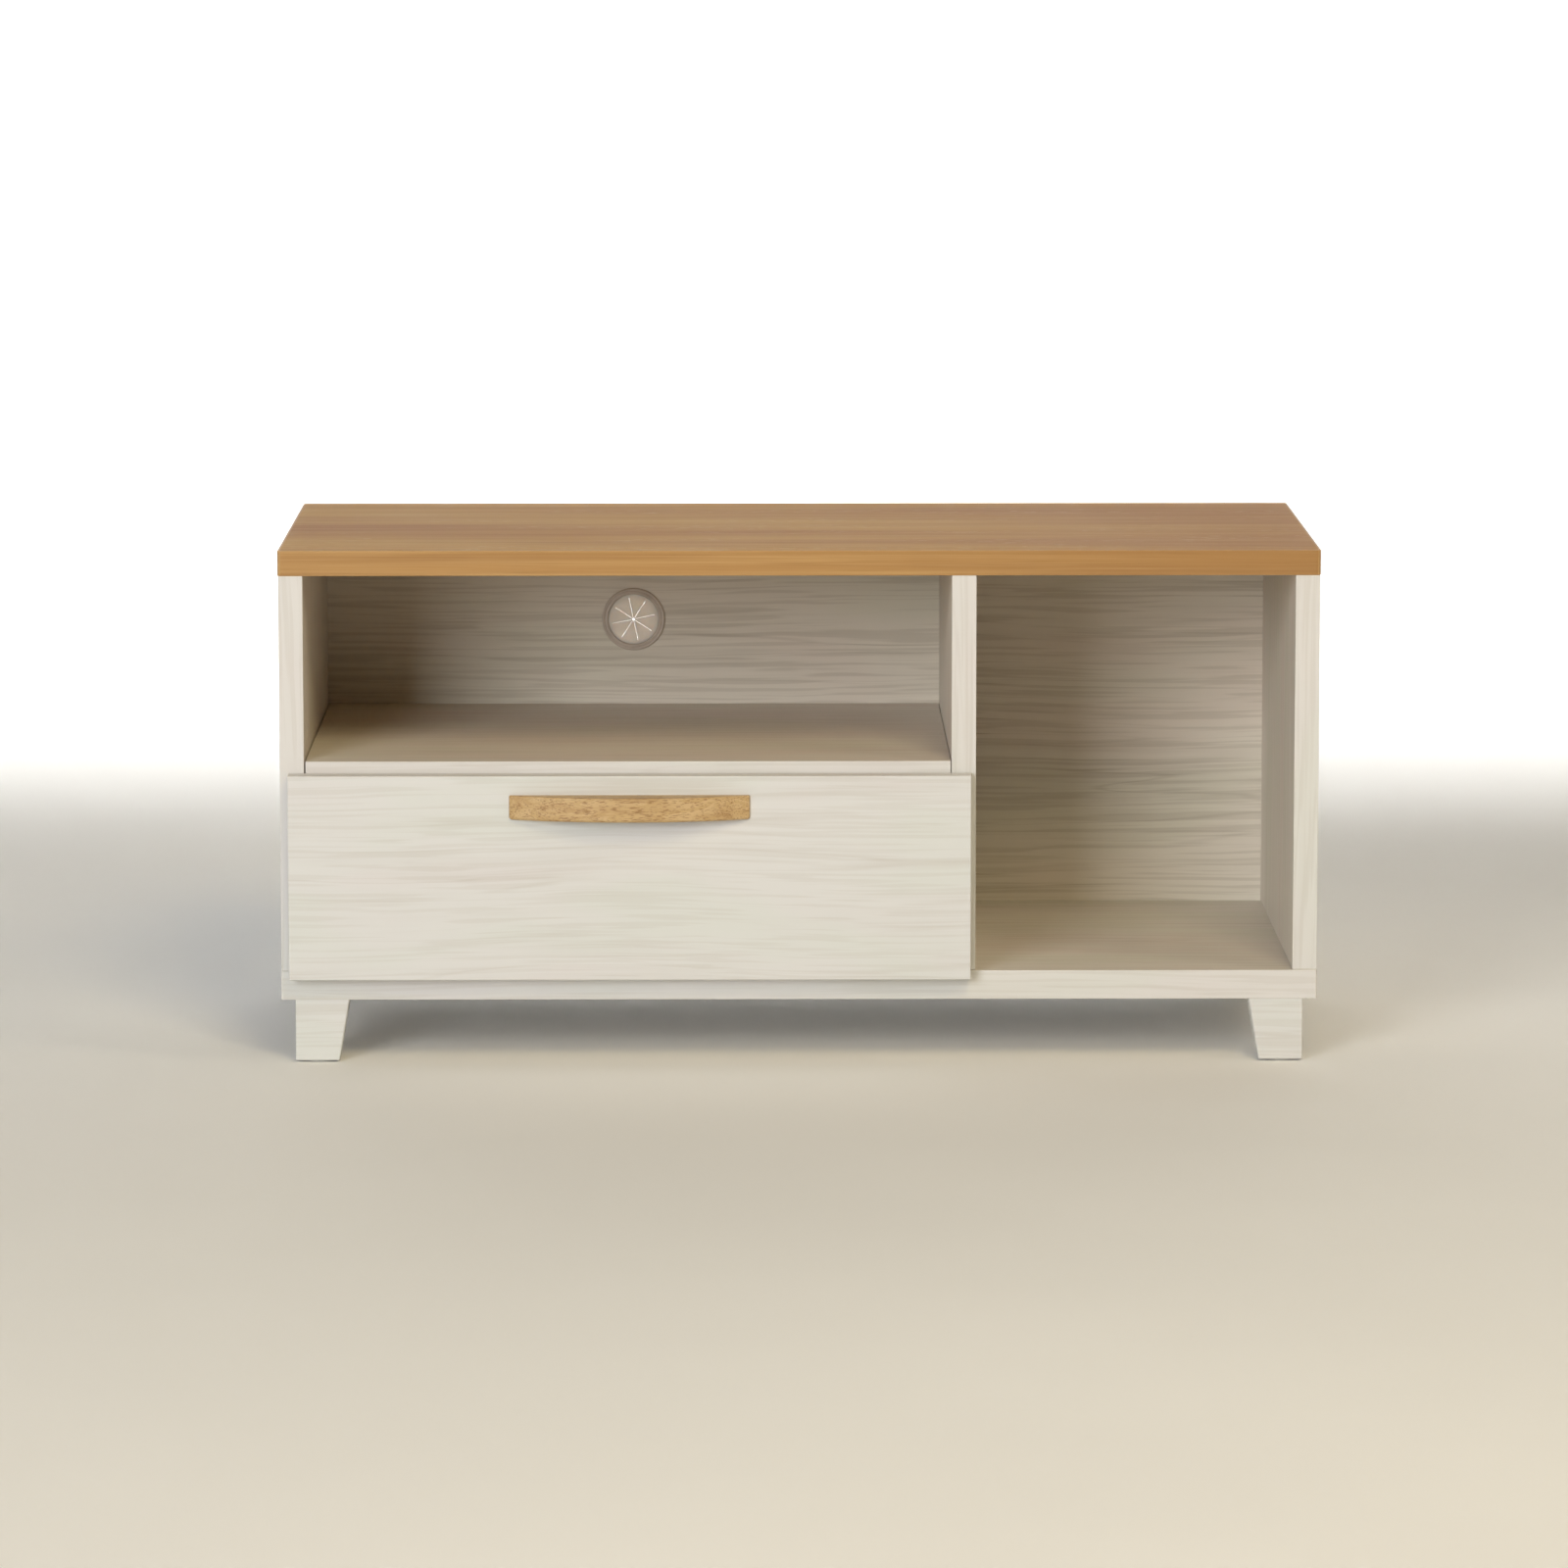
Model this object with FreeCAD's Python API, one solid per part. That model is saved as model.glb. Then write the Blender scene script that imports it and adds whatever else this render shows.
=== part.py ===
"""Low TV stand: a white wood-grain carcass under a beech-faced top, on four short tapered feet.

A divider splits the carcass. The left bay has a fixed shelf with a wide drawer under it, and the
right bay is open from floor to top. The drawer runs on a pair of single-extension roller runners.
A membrane grommet in the left back panel lets cables out.

Millimetres. +X is to the right seen from the front, +Y is to the back and +Z is up. The origin is
on the floor, in the middle of the object's footprint with the drawer shut.
"""

import FreeCAD
import Part

import math
import os

Vec = FreeCAD.Vector
X_AXIS = Vec(1, 0, 0)
Y_AXIS = Vec(0, 1, 0)
Z_AXIS = Vec(0, 0, 1)

# ---- Carcass ----------------------------------------------------------------------------------
width = 895.0              # over the top and the base
depth = 395.0              # front edge to back edge of the top and the base
height = 445.0             # floor to the top's surface
top_thickness = 22.0
base_thickness = 25.0
foot_height = 55.0         # floor to the underside of the base, glide included
upright_thickness = 21.0   # left side, right side and divider
upright_inset = 0.5        # the sides' outer faces, in from the ends of the top
upright_setback = 0.5      # the sides' front edges, back from the top's
left_bay_width = 557.0     # clear width between the left side and the divider
shelf_thickness = 21.0
shelf_height = 182.5       # base's upper face to the shelf's upper face
shelf_left_gap = 1.2       # open joint line at the shelf's left end
shelf_right_gap = 0.7      # and at its end by the divider
upright_arris = 0.6        # eased lower edges of the sides and the divider, along the base
rear_arris = 0.3           # eased rear edges of the sides, the divider, the top and the base

# ---- Edge bands -------------------------------------------------------------------------------
top_band = 2.0
top_band_arris = 0.9
top_corner_radius = 3.5
carcass_band = 1.0
carcass_band_arris = 0.5
upright_band_lift = {"left": 0.2, "divider": 0.5, "right": 0.7}   # open joint above the base
base_corner_radius = 2.0

# ---- Back panels and cable grommet ------------------------------------------------------------
back_thickness = 3.0
back_lip = 6.0             # back panel's rear face, in from the carcass's back edge
groove_depth = 6.0
groove_clearance = 0.2     # each side of the panel in its groove
groove_end_gap = 0.5       # panel's edge to the floor of its groove
shelf_back_gap = 0.3
grommet_drop = 2.75        # below the middle of the left bay
grommet_hole_diameter = 50.0
grommet_hole_clearance = 0.2
grommet_flange_margin = 3.5
grommet_flange = 2.2
grommet_rim_radius = 1.3
grommet_wall = 2.0
grommet_tail = 2.3         # snap lip behind the panel
grommet_tail_gap = 0.2
grommet_mouth = 1.0        # bevel round the bore's front edge
grommet_lip = 0.9          # how far the snap lip stands out past the hole
grommet_seat = 1.3         # width of the ledge that the membrane sits on
membrane_thickness = 1.0
membrane_recess = 1.5      # below the flange's front face
slit_count = 8
slit_width = 0.5
slit_turn = 12.0           # degrees from the horizontal to the first slit
slit_margin = 3.0          # uncut rim outside the slits

# ---- Feet -------------------------------------------------------------------------------------
foot_top = 47.0
foot_taper = 9.0           # the two inner faces lean in by this much at the bottom
foot_end_inset = 12.0
foot_front_inset = 1.0
foot_back_inset = 12.0
foot_arris = 1.5
glide_thickness = 1.5
glide_diameter = 30.0
foot_bolt_diameter = 6.0
foot_bolt_hole_diameter = 6.2
foot_bolt_head_diameter = 11.0
foot_bolt_head = 6.0
foot_bolt_socket = (5.5, 3.0)   # diameter and depth
foot_counterbore_diameter = 14.0
foot_counterbore = 12.0
insert_diameter = 10.0
insert_length = 13.0
foot_pin_offset = 14.0     # anti-turn dowel, from the bolt towards the outer corner
foot_pin_depth = 10.0      # into the foot, and into the base

# ---- Carcass fasteners ------------------------------------------------------------------------
dowel_diameter = 8.0
dowel_in_face = 11.0
dowel_in_edge = 19.0
dowel_clearance = 0.05     # glue line, on the radius
hole_end_gap = 1.0         # room past a fastener's end
screw_core_diameter = 5.0
screw_shank_diameter = 6.8
screw_head_diameter = 10.0
screw_head = 3.0
screw_length = 50.0
cam_diameter = 15.0
cam_height = 13.0
cam_from_end = 24.0
cam_slot = (9.0, 1.6, 1.5)  # length, width and depth of the driver slot
cam_bolt_diameter = 6.0
cam_bolt_bite = 10.0
cam_bolt_bore = 8.0

# Rows of fasteners, each measured in from the carcass's front edge or back edge.
top_dowels_in = (60.0, 70.0)        # from the front, from the back, and one half-way
base_dowels_in = (55.0, 135.0)
base_screws_in = (80.0, 75.0)
shelf_dowels_in = (80.0, 110.0)
shelf_cams_in = (50.0, 75.0)

# ---- Drawer -----------------------------------------------------------------------------------
drawer_front_thickness = 18.0
drawer_front_gap = 1.0     # behind the shut drawer front
drawer_front_arris = 1.0
overlay_left = 13.5        # drawer front over the left side's front edge
overlay_right = 16.5       # over the divider's front edge
overlay_base = 5.0
overlay_shelf = 11.0
runner_gap = 12.5          # cabinet wall to drawer box, each side
box_board = 12.0
box_arris = 0.8
box_above_base = 18.0
box_below_shelf = 29.5
box_bottom_thickness = 3.0
box_bottom_above_edge = 12.0
box_groove_depth = 4.0
box_screw_diameter = 3.6
box_screw_head_diameter = 7.0
box_screw_head = 2.0
box_screw_bite = 23.0
box_screw_inset = 28.0     # from the box's lower and upper edges
front_screw_length = 24.0
front_screw_inset = 60.0   # from the ends of the box
front_screw_rise = 14.0    # lower pair, above the box's bottom sheet
front_screw_drop = 28.0    # upper pair, below the box's upper edge

# ---- Handle -----------------------------------------------------------------------------------
handle_length = 206.5
handle_height = 21.0
handle_reach = 23.0        # drawer front to the middle of the bow
handle_end = 3.0           # thickness of the bow's two ends
handle_below_top = 16.5    # drawer front's upper edge to the handle's upper face
handle_end_radius = 2.4
handle_arris = 1.2         # upper edges, and inside the finger groove
handle_low_arris = 2.6
finger_lip = 8.0
finger_groove_inset = 45.0  # from the handle's ends
finger_groove_height = 13.0
handle_screw_inset = 23.25  # from the handle's ends
handle_screw_diameter = 4.0
handle_screw_bite = 9.0
handle_screw_head_diameter = 8.0
handle_screw_head = 2.4

# ---- Roller runners ---------------------------------------------------------------------------
runner_step = 50.0         # runners are made in lengths this far apart
runner_back_gap = 20.0     # least gap from a runner to the back panel
runner_setback = 2.0       # behind the uprights' front edges
runner_sheet = 1.2
runner_above_base = 4.0
channel_gap = 1.8          # cabinet channel to drawer member
roller_diameter = 18.0
roller_clearance = 0.3     # roller to track
roller_side_gap = 0.4
roller_rim_radius = 0.4
roller_inset = 12.0        # from the channel's front end, and from the drawer member's back end
pin_diameter = 4.0
pin_clearance = 0.05
pin_head_diameter = 6.5
pin_head = 0.8
pin_head_gap = 0.1         # pin head inside the channel's edge
track_edge = 4.5           # cabinet wall to the near edge of the drawer member's track
track_gap = 0.6            # rear roller to the track above it
roof_gap = 1.0             # track to the channel's roof, which stops an open drawer tipping
member_height = 24.0       # drawer member's wall above the box's lower edge
member_tab = (24.0, 10.0)  # length and drop of the tab that carries the rear roller
runner_screw_diameter = 3.4
runner_screw_bite = 14.0
runner_screw_head_diameter = 6.6
runner_screw_head = 1.5
runner_screw_inset = (35.0, 65.0)   # from the runner's front end and from its back end
member_screw_below_top = 6.0
member_screw_bite = 9.0

# ---- Derived places ---------------------------------------------------------------------------
projection = drawer_front_gap + drawer_front_thickness + handle_reach
front_y = (projection - depth) / 2          # front edge of the top and the base
back_y = front_y + depth
upright_front_y = front_y + upright_setback
base_low_z = foot_height
base_top_z = base_low_z + base_thickness
under_top_z = height - top_thickness
shelf_top_z = base_top_z + shelf_height
shelf_low_z = shelf_top_z - shelf_thickness
shelf_mid_z = (shelf_top_z + shelf_low_z) / 2

left_outer_x = -width / 2 + upright_inset
left_inner_x = left_outer_x + upright_thickness
divider_left_x = left_inner_x + left_bay_width
divider_right_x = divider_left_x + upright_thickness
right_outer_x = width / 2 - upright_inset
right_inner_x = right_outer_x - upright_thickness
left_bay_x = (left_inner_x + divider_left_x) / 2
upright_spans = {
    "left": (left_outer_x, left_inner_x),
    "divider": (divider_left_x, divider_right_x),
    "right": (right_inner_x, right_outer_x),
}

back_front_y = back_y - back_lip - back_thickness      # the back panels' visible face
grommet_z = (shelf_top_z + under_top_z) / 2 - grommet_drop

clear_depth = back_front_y - (upright_front_y + runner_setback) - runner_back_gap
runner_length = runner_step * math.floor(clear_depth / runner_step)
channel_width = runner_gap - runner_sheet - channel_gap
roller_width = channel_width - runner_sheet - 2 * roller_side_gap - pin_head - pin_head_gap

drawer_back_face_y = front_y - drawer_front_gap        # rear face of the drawer front
drawer_face_y = drawer_back_face_y - drawer_front_thickness
drawer_front_x = (left_inner_x - overlay_left, divider_left_x + overlay_right)
drawer_front_z = (base_top_z - overlay_base, shelf_low_z + overlay_shelf)
box_x = (left_inner_x + runner_gap, divider_left_x - runner_gap)
box_y = (drawer_back_face_y, drawer_back_face_y + runner_length)
box_z = (base_top_z + box_above_base, shelf_low_z - box_below_shelf)
handle_top_z = drawer_front_z[1] - handle_below_top
handle_low_z = handle_top_z - handle_height
handle_mid_z = (handle_top_z + handle_low_z) / 2

channel_low_z = base_top_z + runner_above_base
channel_floor_z = channel_low_z + runner_sheet
roller_radius = roller_diameter / 2
rear_roller_z = channel_floor_z + roller_clearance + roller_radius
track_low_z = rear_roller_z + roller_radius + track_gap
channel_top_z = track_low_z + runner_sheet + roof_gap + runner_sheet
front_roller_z = track_low_z - roller_clearance - roller_radius
runner_y = (upright_front_y + runner_setback, upright_front_y + runner_setback + runner_length)
front_roller_y = runner_y[0] + roller_inset
rear_roller_y = box_y[1] - roller_inset
member_wall_x = (box_x[0] - runner_sheet, box_x[0])


# ---- Helpers ----------------------------------------------------------------------------------
def block(x, y, z):
    """A box between the two values of each pair."""
    return Part.makeBox(x[1] - x[0], y[1] - y[0], z[1] - z[0], Vec(x[0], y[0], z[0]))


def rod(start, axis, length, diameter):
    return Part.makeCylinder(diameter / 2, length, start, axis)


def cone(start, axis, length, diameter_1, diameter_2):
    return Part.makeCone(diameter_1 / 2, diameter_2 / 2, length, start, axis)


def joined(shapes):
    """One clean solid from shapes that overlap or share a face."""
    return shapes[0].fuse(shapes[1:]).removeSplitter()


def drilled(shape, tools):
    return shape.cut(Part.makeCompound(tools)) if tools else shape


def mirrored(shape, x=left_bay_x):
    """The same shape on the other side of the plane at x."""
    return shape.mirror(Vec(x, 0, 0), X_AXIS)


def on_both_sides(solids):
    return solids + [mirrored(s) for s in solids]


def edges_where(shape, test):
    """The edges whose every vertex passes the test."""
    return [e for e in shape.Edges if all(test(v.Point) for v in e.Vertexes)]


def near(a, b):
    return abs(a - b) < 0.001


def runs_along(edge, axis):
    """Whether a straight edge runs along x, y or z."""
    a, b = (v.Point for v in edge.Vertexes)
    return all(near(getattr(a, n), getattr(b, n)) for n in "xyz" if n != axis)


def eased(board, arris):
    """A board with all its edges chamfered."""
    return board.makeChamfer(arris, board.Edges)


def rear_eased(board, axis):
    """A board with a small chamfer on its rear edges that run along x or z."""
    rear = edges_where(board, lambda p: near(p.y, back_y))
    return board.makeChamfer(rear_arris, [e for e in rear if runs_along(e, axis)])


def upright_mid_x(name):
    return sum(upright_spans[name]) / 2


def rows(inset):
    """The two y places that lie inset from the carcass's front edge and from its back edge."""
    return (front_y + inset[0], back_y - inset[1])


# ---- Fasteners and the holes that they need -----------------------------------------------------
class Dowel:
    """A glued dowel from a panel's face into the edge of its neighbour; axis points into the edge."""

    def __init__(self, at, axis):
        self.at = at
        self.axis = axis

    def solid(self):
        start = self.at - self.axis * dowel_in_face
        return rod(start, self.axis, dowel_in_face + dowel_in_edge, dowel_diameter)

    def hole(self):
        start = self.at - self.axis * (dowel_in_face + hole_end_gap)
        length = dowel_in_face + dowel_in_edge + 2 * hole_end_gap
        return rod(start, self.axis, length, dowel_diameter + 2 * dowel_clearance)


def top_dowels():
    """Three in the upper edge of each upright."""
    front, back = rows(top_dowels_in)
    places = (front, (front + back) / 2, back)
    return {n: [Dowel(Vec(upright_mid_x(n), y, under_top_z), -Z_AXIS) for y in places]
            for n in upright_spans}


def base_dowels():
    """Two in the lower edge of each upright."""
    return {n: [Dowel(Vec(upright_mid_x(n), y, base_top_z), Z_AXIS) for y in rows(base_dowels_in)]
            for n in upright_spans}


def shelf_dowels():
    """Two at each end of the shelf."""
    ends = {"left": (left_inner_x, X_AXIS), "divider": (divider_left_x, -X_AXIS)}
    return {n: [Dowel(Vec(x, y, shelf_mid_z), axis) for y in rows(shelf_dowels_in)]
            for n, (x, axis) in ends.items()}


def all_dowels():
    groups = [top_dowels(), base_dowels(), shelf_dowels()]
    return [d for group in groups for dowels in group.values() for d in dowels]


def base_screw(x, y, extra=0.0):
    """A screw up through the base into an upright; extra widens and deepens it into its hole."""
    start = Vec(x, y, base_low_z)
    return joined([
        cone(start, Z_AXIS, screw_head, screw_head_diameter + 2 * extra, screw_shank_diameter),
        rod(start, Z_AXIS, base_thickness, screw_shank_diameter + 2 * extra),
        rod(start, Z_AXIS, screw_length + (hole_end_gap if extra else 0.0),
            screw_core_diameter + 2 * extra),
    ])


def base_screw_places():
    return [(upright_mid_x(n), y) for n in upright_spans for y in rows(base_screws_in)]


def cam_places():
    """Where each cam sits in the shelf: centre x, y, and the way its bolt points, away from it."""
    left = left_inner_x + shelf_left_gap + cam_from_end
    right = divider_left_x - shelf_right_gap - cam_from_end
    return [(x, y, way) for x, way in ((left, -1), (right, 1)) for y in rows(shelf_cams_in)]


def cam_bolt(x, y, way, diameter, extra=0.0):
    """A bolt from the cam's middle, out of the shelf's end and into the upright."""
    wall = left_inner_x if way < 0 else divider_left_x
    length = abs(wall - x) + cam_bolt_bite + extra
    return rod(Vec(x, y, shelf_mid_z), X_AXIS * way, length, diameter)


# ---- Carcass panels -----------------------------------------------------------------------------
def groove(x, y, z):
    """A back panel's groove, cut wider than the panel in y."""
    return block(x, (y[0] - groove_clearance, y[1] + groove_clearance), z)


def back_span(left_wall_x, right_wall_x, inset):
    return (left_wall_x - groove_depth + inset, right_wall_x + groove_depth - inset)


back_y_span = (back_front_y, back_front_y + back_thickness)
bays = ((left_inner_x, divider_left_x), (divider_right_x, right_inner_x))


def upright(name):
    """A side or the divider, with its grooves, dowel holes and screw pilots."""
    x = upright_spans[name]
    panel = block(x, (upright_front_y + carcass_band, back_y), (base_top_z, under_top_z))
    lower = edges_where(panel, lambda p: near(p.z, base_top_z))
    panel = panel.makeChamfer(upright_arris, [e for e in lower if runs_along(e, "y")])
    panel = rear_eased(panel, "z")
    cuts = [groove(back_span(*bay, 0.0), back_y_span, (base_top_z, under_top_z)) for bay in bays]
    for group in (top_dowels(), base_dowels(), shelf_dowels()):
        cuts += [d.hole() for d in group.get(name, [])]
    cuts += [base_screw(sx, sy, pin_clearance) for sx, sy in base_screw_places()]
    if name != "right":
        cuts += [cam_bolt(*place, cam_bolt_diameter, hole_end_gap) for place in cam_places()]
        cuts += on_both_sides(cabinet_runner_screws())
    return drilled(panel, cuts)


def upright_band(name):
    """The strip on an upright's front edge."""
    y = (upright_front_y, upright_front_y + carcass_band)
    low_z = base_top_z + upright_band_lift[name]
    band = block(upright_spans[name], y, (low_z, under_top_z))
    arris = edges_where(band, lambda p: near(p.y, upright_front_y))
    return band.makeFillet(carcass_band_arris, arris)


def shelf_x():
    return (left_inner_x + shelf_left_gap, divider_left_x - shelf_right_gap)


def shelf_panel():
    y = (upright_front_y + carcass_band, back_front_y - shelf_back_gap)
    panel = block(shelf_x(), y, (shelf_low_z, shelf_top_z))
    cuts = [d.hole() for dowels in shelf_dowels().values() for d in dowels]
    for place in cam_places():
        x, y, _ = place
        cuts.append(rod(Vec(x, y, shelf_low_z), Z_AXIS, cam_height + pin_clearance,
                        cam_diameter + 2 * pin_clearance))
        cuts.append(cam_bolt(*place, cam_bolt_bore))
    return drilled(panel, cuts)


def shelf_band():
    y = (upright_front_y, upright_front_y + carcass_band)
    band = block(shelf_x(), y, (shelf_low_z, shelf_top_z))
    arris = edges_where(band, lambda p: near(p.y, upright_front_y))
    return band.makeFillet(carcass_band_arris, arris)


def board_outline(z, thickness, radius):
    """A full-width board with rounded front corners."""
    board = block((-width / 2, width / 2), (front_y, back_y), (z, z + thickness))
    corners = edges_where(board, lambda p: near(p.y, front_y))
    return board.makeFillet(radius, [e for e in corners if runs_along(e, "z")])


def board_core(z, thickness, radius, band):
    """The board inside its edge band, which covers the front and both ends."""
    core = block((-width / 2 + band, width / 2 - band), (front_y + band, back_y),
                 (z, z + thickness))
    inner_radius = radius - band
    corners = edges_where(core, lambda p: near(p.y, front_y + band))
    return core.makeFillet(inner_radius, [e for e in corners if runs_along(e, "z")])


def board_bands(name, z, thickness, radius, band, arris):
    """The strips on a board's front and ends; the end strips run through to the front."""
    outline = board_outline(z, thickness, radius)
    outer = [e for e in outline.Edges
             if near(e.Vertexes[0].Z, e.Vertexes[1].Z)
             and not all(near(v.Y, back_y) for v in e.Vertexes)]
    strip = outline.makeFillet(arris, outer).cut(board_core(z, thickness, radius, band))
    seam = width / 2 - band
    spans = {"front": (-seam, seam), "left": (-width, -seam), "right": (seam, width)}
    return {f"{name}_band_{side}": strip.common(block(x, (front_y, back_y), (z, z + thickness)))
            for side, x in spans.items()}


def top_panel():
    panel = board_core(under_top_z, top_thickness, top_corner_radius, top_band)
    panel = rear_eased(panel, "x")
    cuts = [groove(back_span(*bay, 0.0), back_y_span, (under_top_z, under_top_z + groove_depth))
            for bay in bays]
    cuts += [d.hole() for dowels in top_dowels().values() for d in dowels]
    return drilled(panel, cuts)


def base_panel():
    panel = board_core(base_low_z, base_thickness, base_corner_radius, carcass_band)
    panel = rear_eased(panel, "x")
    cuts = [groove(back_span(*bay, 0.0), back_y_span, (base_top_z - groove_depth, base_top_z))
            for bay in bays]
    cuts += [d.hole() for dowels in base_dowels().values() for d in dowels]
    cuts += [base_screw(x, y, pin_clearance) for x, y in base_screw_places()]
    for foot in foot_places():
        cuts.append(insert_body(foot))
        cuts.append(foot_pin(foot, hole_end_gap, dowel_clearance))
    return drilled(panel, cuts)


def back_panel(bay):
    """A thin panel held in grooves on all four sides."""
    z = (base_top_z - groove_depth + groove_end_gap, under_top_z + groove_depth - groove_end_gap)
    return block(back_span(*bay, groove_end_gap), back_y_span, z)


def left_back_panel():
    """The left back panel, with the grommet's hole."""
    hole = rod(Vec(left_bay_x, back_front_y - 1, grommet_z), Y_AXIS, back_thickness + 2,
               grommet_hole_diameter)
    return back_panel(bays[0]).cut(hole)


# ---- Cable grommet --------------------------------------------------------------------------------
grommet_flange_diameter = grommet_hole_diameter + 2 * grommet_flange_margin
grommet_face_y = back_front_y - grommet_flange
grommet_outer = grommet_hole_diameter - 2 * grommet_hole_clearance
grommet_bore = grommet_outer - 2 * grommet_wall
membrane_y = grommet_face_y + membrane_recess


def grommet_rod(y, length, diameter):
    return rod(Vec(left_bay_x, y, grommet_z), Y_AXIS, length, diameter)


def grommet_ring():
    """Flange, sleeve and snap lip, with a ledge inside that the membrane sits on."""
    flange = grommet_rod(grommet_face_y, grommet_flange, grommet_flange_diameter)
    rim = edges_where(flange, lambda p: near(p.y, grommet_face_y))
    flange = flange.makeFillet(grommet_rim_radius, rim)
    tail_y = back_front_y + back_thickness + grommet_tail_gap
    sleeve = grommet_rod(grommet_face_y, tail_y + grommet_tail - grommet_face_y, grommet_outer)
    lip_diameter = grommet_hole_diameter + 2 * grommet_lip
    snap = cone(Vec(left_bay_x, tail_y, grommet_z), Y_AXIS, grommet_tail, lip_diameter,
                grommet_outer)
    seat_y = membrane_y + membrane_thickness
    seat_bore = grommet_bore - 2 * grommet_seat
    mouth = cone(Vec(left_bay_x, grommet_face_y, grommet_z), Y_AXIS, grommet_mouth,
                 grommet_bore + 2 * grommet_mouth, grommet_bore)
    return joined([flange, sleeve, snap]).cut([
        grommet_rod(grommet_face_y, seat_y - grommet_face_y, grommet_bore),
        grommet_rod(seat_y, tail_y + grommet_tail - seat_y, seat_bore),
        mouth,
    ])


def grommet_membrane():
    """A soft disc slit into petals, which cables push aside."""
    disc = grommet_rod(membrane_y, membrane_thickness, grommet_bore - 2 * pin_clearance)
    slit = block((0.0, grommet_bore / 2 - slit_margin),
                 (membrane_y - 1, membrane_y + membrane_thickness + 1),
                 (-slit_width / 2, slit_width / 2))
    slits = []
    for i in range(slit_count):
        turned = slit.copy()
        turned.rotate(Vec(0, 0, 0), Y_AXIS, -(slit_turn + i * 360.0 / slit_count))
        turned.translate(Vec(left_bay_x, 0, grommet_z))
        slits.append(turned)
    return disc.cut(slits)


# ---- Feet -----------------------------------------------------------------------------------------
def foot_places():
    """Name, outer corner and the two ways in towards the middle, for each foot."""
    end_x = width / 2 - foot_end_inset
    front = front_y + foot_front_inset
    back = back_y - foot_back_inset
    return [("front_left", -end_x, front, 1, 1), ("front_right", end_x, front, -1, 1),
            ("rear_left", -end_x, back, 1, -1), ("rear_right", end_x, back, -1, -1)]


def foot_section(place, size, z):
    """A square of that size in the foot's outer corner, as a wire."""
    _, x, y, in_x, in_y = place
    corners = [(0, 0), (1, 0), (1, 1), (0, 1), (0, 0)]
    points = [Vec(x + in_x * size * a, y + in_y * size * b, z) for a, b in corners]
    return Part.makePolygon(points)


def foot_axis(place):
    """The bolt's x and y: the middle of the foot's lower end."""
    _, x, y, in_x, in_y = place
    half = (foot_top - foot_taper) / 2
    return x + in_x * half, y + in_y * half


def foot(place):
    """A block with its two inner faces tapered, counterbored from below for its bolt."""
    low = foot_section(place, foot_top - foot_taper, glide_thickness)
    high = foot_section(place, foot_top, base_low_z)
    body = Part.makeLoft([low, high], True, True)
    sharp = [e for e in body.Edges if not all(near(v.Z, base_low_z) for v in e.Vertexes)]
    body = body.makeFillet(foot_arris, sharp)
    x, y = foot_axis(place)
    start = Vec(x, y, glide_thickness)
    reach = base_low_z - glide_thickness
    return drilled(body, [
        rod(start, Z_AXIS, reach, foot_bolt_hole_diameter),
        rod(start, Z_AXIS, foot_counterbore, foot_counterbore_diameter),
        foot_pin(place, hole_end_gap, dowel_clearance),
    ])


def foot_bolt(place):
    """A socket-head bolt up through the foot into the base's insert."""
    x, y = foot_axis(place)
    seat_z = glide_thickness + foot_counterbore
    start = Vec(x, y, seat_z - foot_bolt_head)
    head = rod(start, Z_AXIS, foot_bolt_head, foot_bolt_head_diameter)
    socket_diameter, socket_depth = foot_bolt_socket
    socket = rod(start, Z_AXIS, socket_depth, socket_diameter)
    shank = rod(Vec(x, y, seat_z), Z_AXIS, base_low_z + insert_length - hole_end_gap - seat_z,
                foot_bolt_diameter)
    return joined([head, shank]).cut(socket)


def insert_body(place):
    x, y = foot_axis(place)
    return rod(Vec(x, y, base_low_z), Z_AXIS, insert_length, insert_diameter)


def insert(place):
    """A threaded insert pressed into the underside of the base."""
    x, y = foot_axis(place)
    bore = rod(Vec(x, y, base_low_z), Z_AXIS, insert_length - hole_end_gap,
               foot_bolt_diameter + 2 * pin_clearance)
    return insert_body(place).cut(bore)


def foot_pin(place, extra=0.0, clearance=0.0):
    """The dowel that stops a foot turning; extra and clearance make it its own hole."""
    x, y = foot_axis(place)
    _, _, _, in_x, in_y = place
    offset = foot_pin_offset / math.sqrt(2)
    start = Vec(x - in_x * offset, y - in_y * offset, base_low_z - foot_pin_depth - extra)
    return rod(start, Z_AXIS, 2 * (foot_pin_depth + extra), dowel_diameter + 2 * clearance)


def glide(place):
    x, y = foot_axis(place)
    return rod(Vec(x, y, 0), Z_AXIS, glide_thickness, glide_diameter)


# ---- Shelf fittings ---------------------------------------------------------------------------------
def shelf_cam(place):
    """A cam disc in the shelf's underside, bored for its bolt and slotted for a driver."""
    x, y, way = place
    start = Vec(x, y, shelf_low_z)
    disc = rod(start, Z_AXIS, cam_height, cam_diameter)
    slot_x, slot_y, slot_z = cam_slot
    slot = block((x - slot_x / 2, x + slot_x / 2), (y - slot_y / 2, y + slot_y / 2),
                 (shelf_low_z, shelf_low_z + slot_z))
    bore = cam_bolt(x, y, way, cam_bolt_bore)
    return disc.cut([slot, bore])


# ---- Drawer box -----------------------------------------------------------------------------------
box_inner_x = (box_x[0] + box_board, box_x[1] - box_board)
box_inner_y = (box_y[0] + box_board, box_y[1] - box_board)
bottom_z = (box_z[0] + box_bottom_above_edge,
            box_z[0] + box_bottom_above_edge + box_bottom_thickness)


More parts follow.
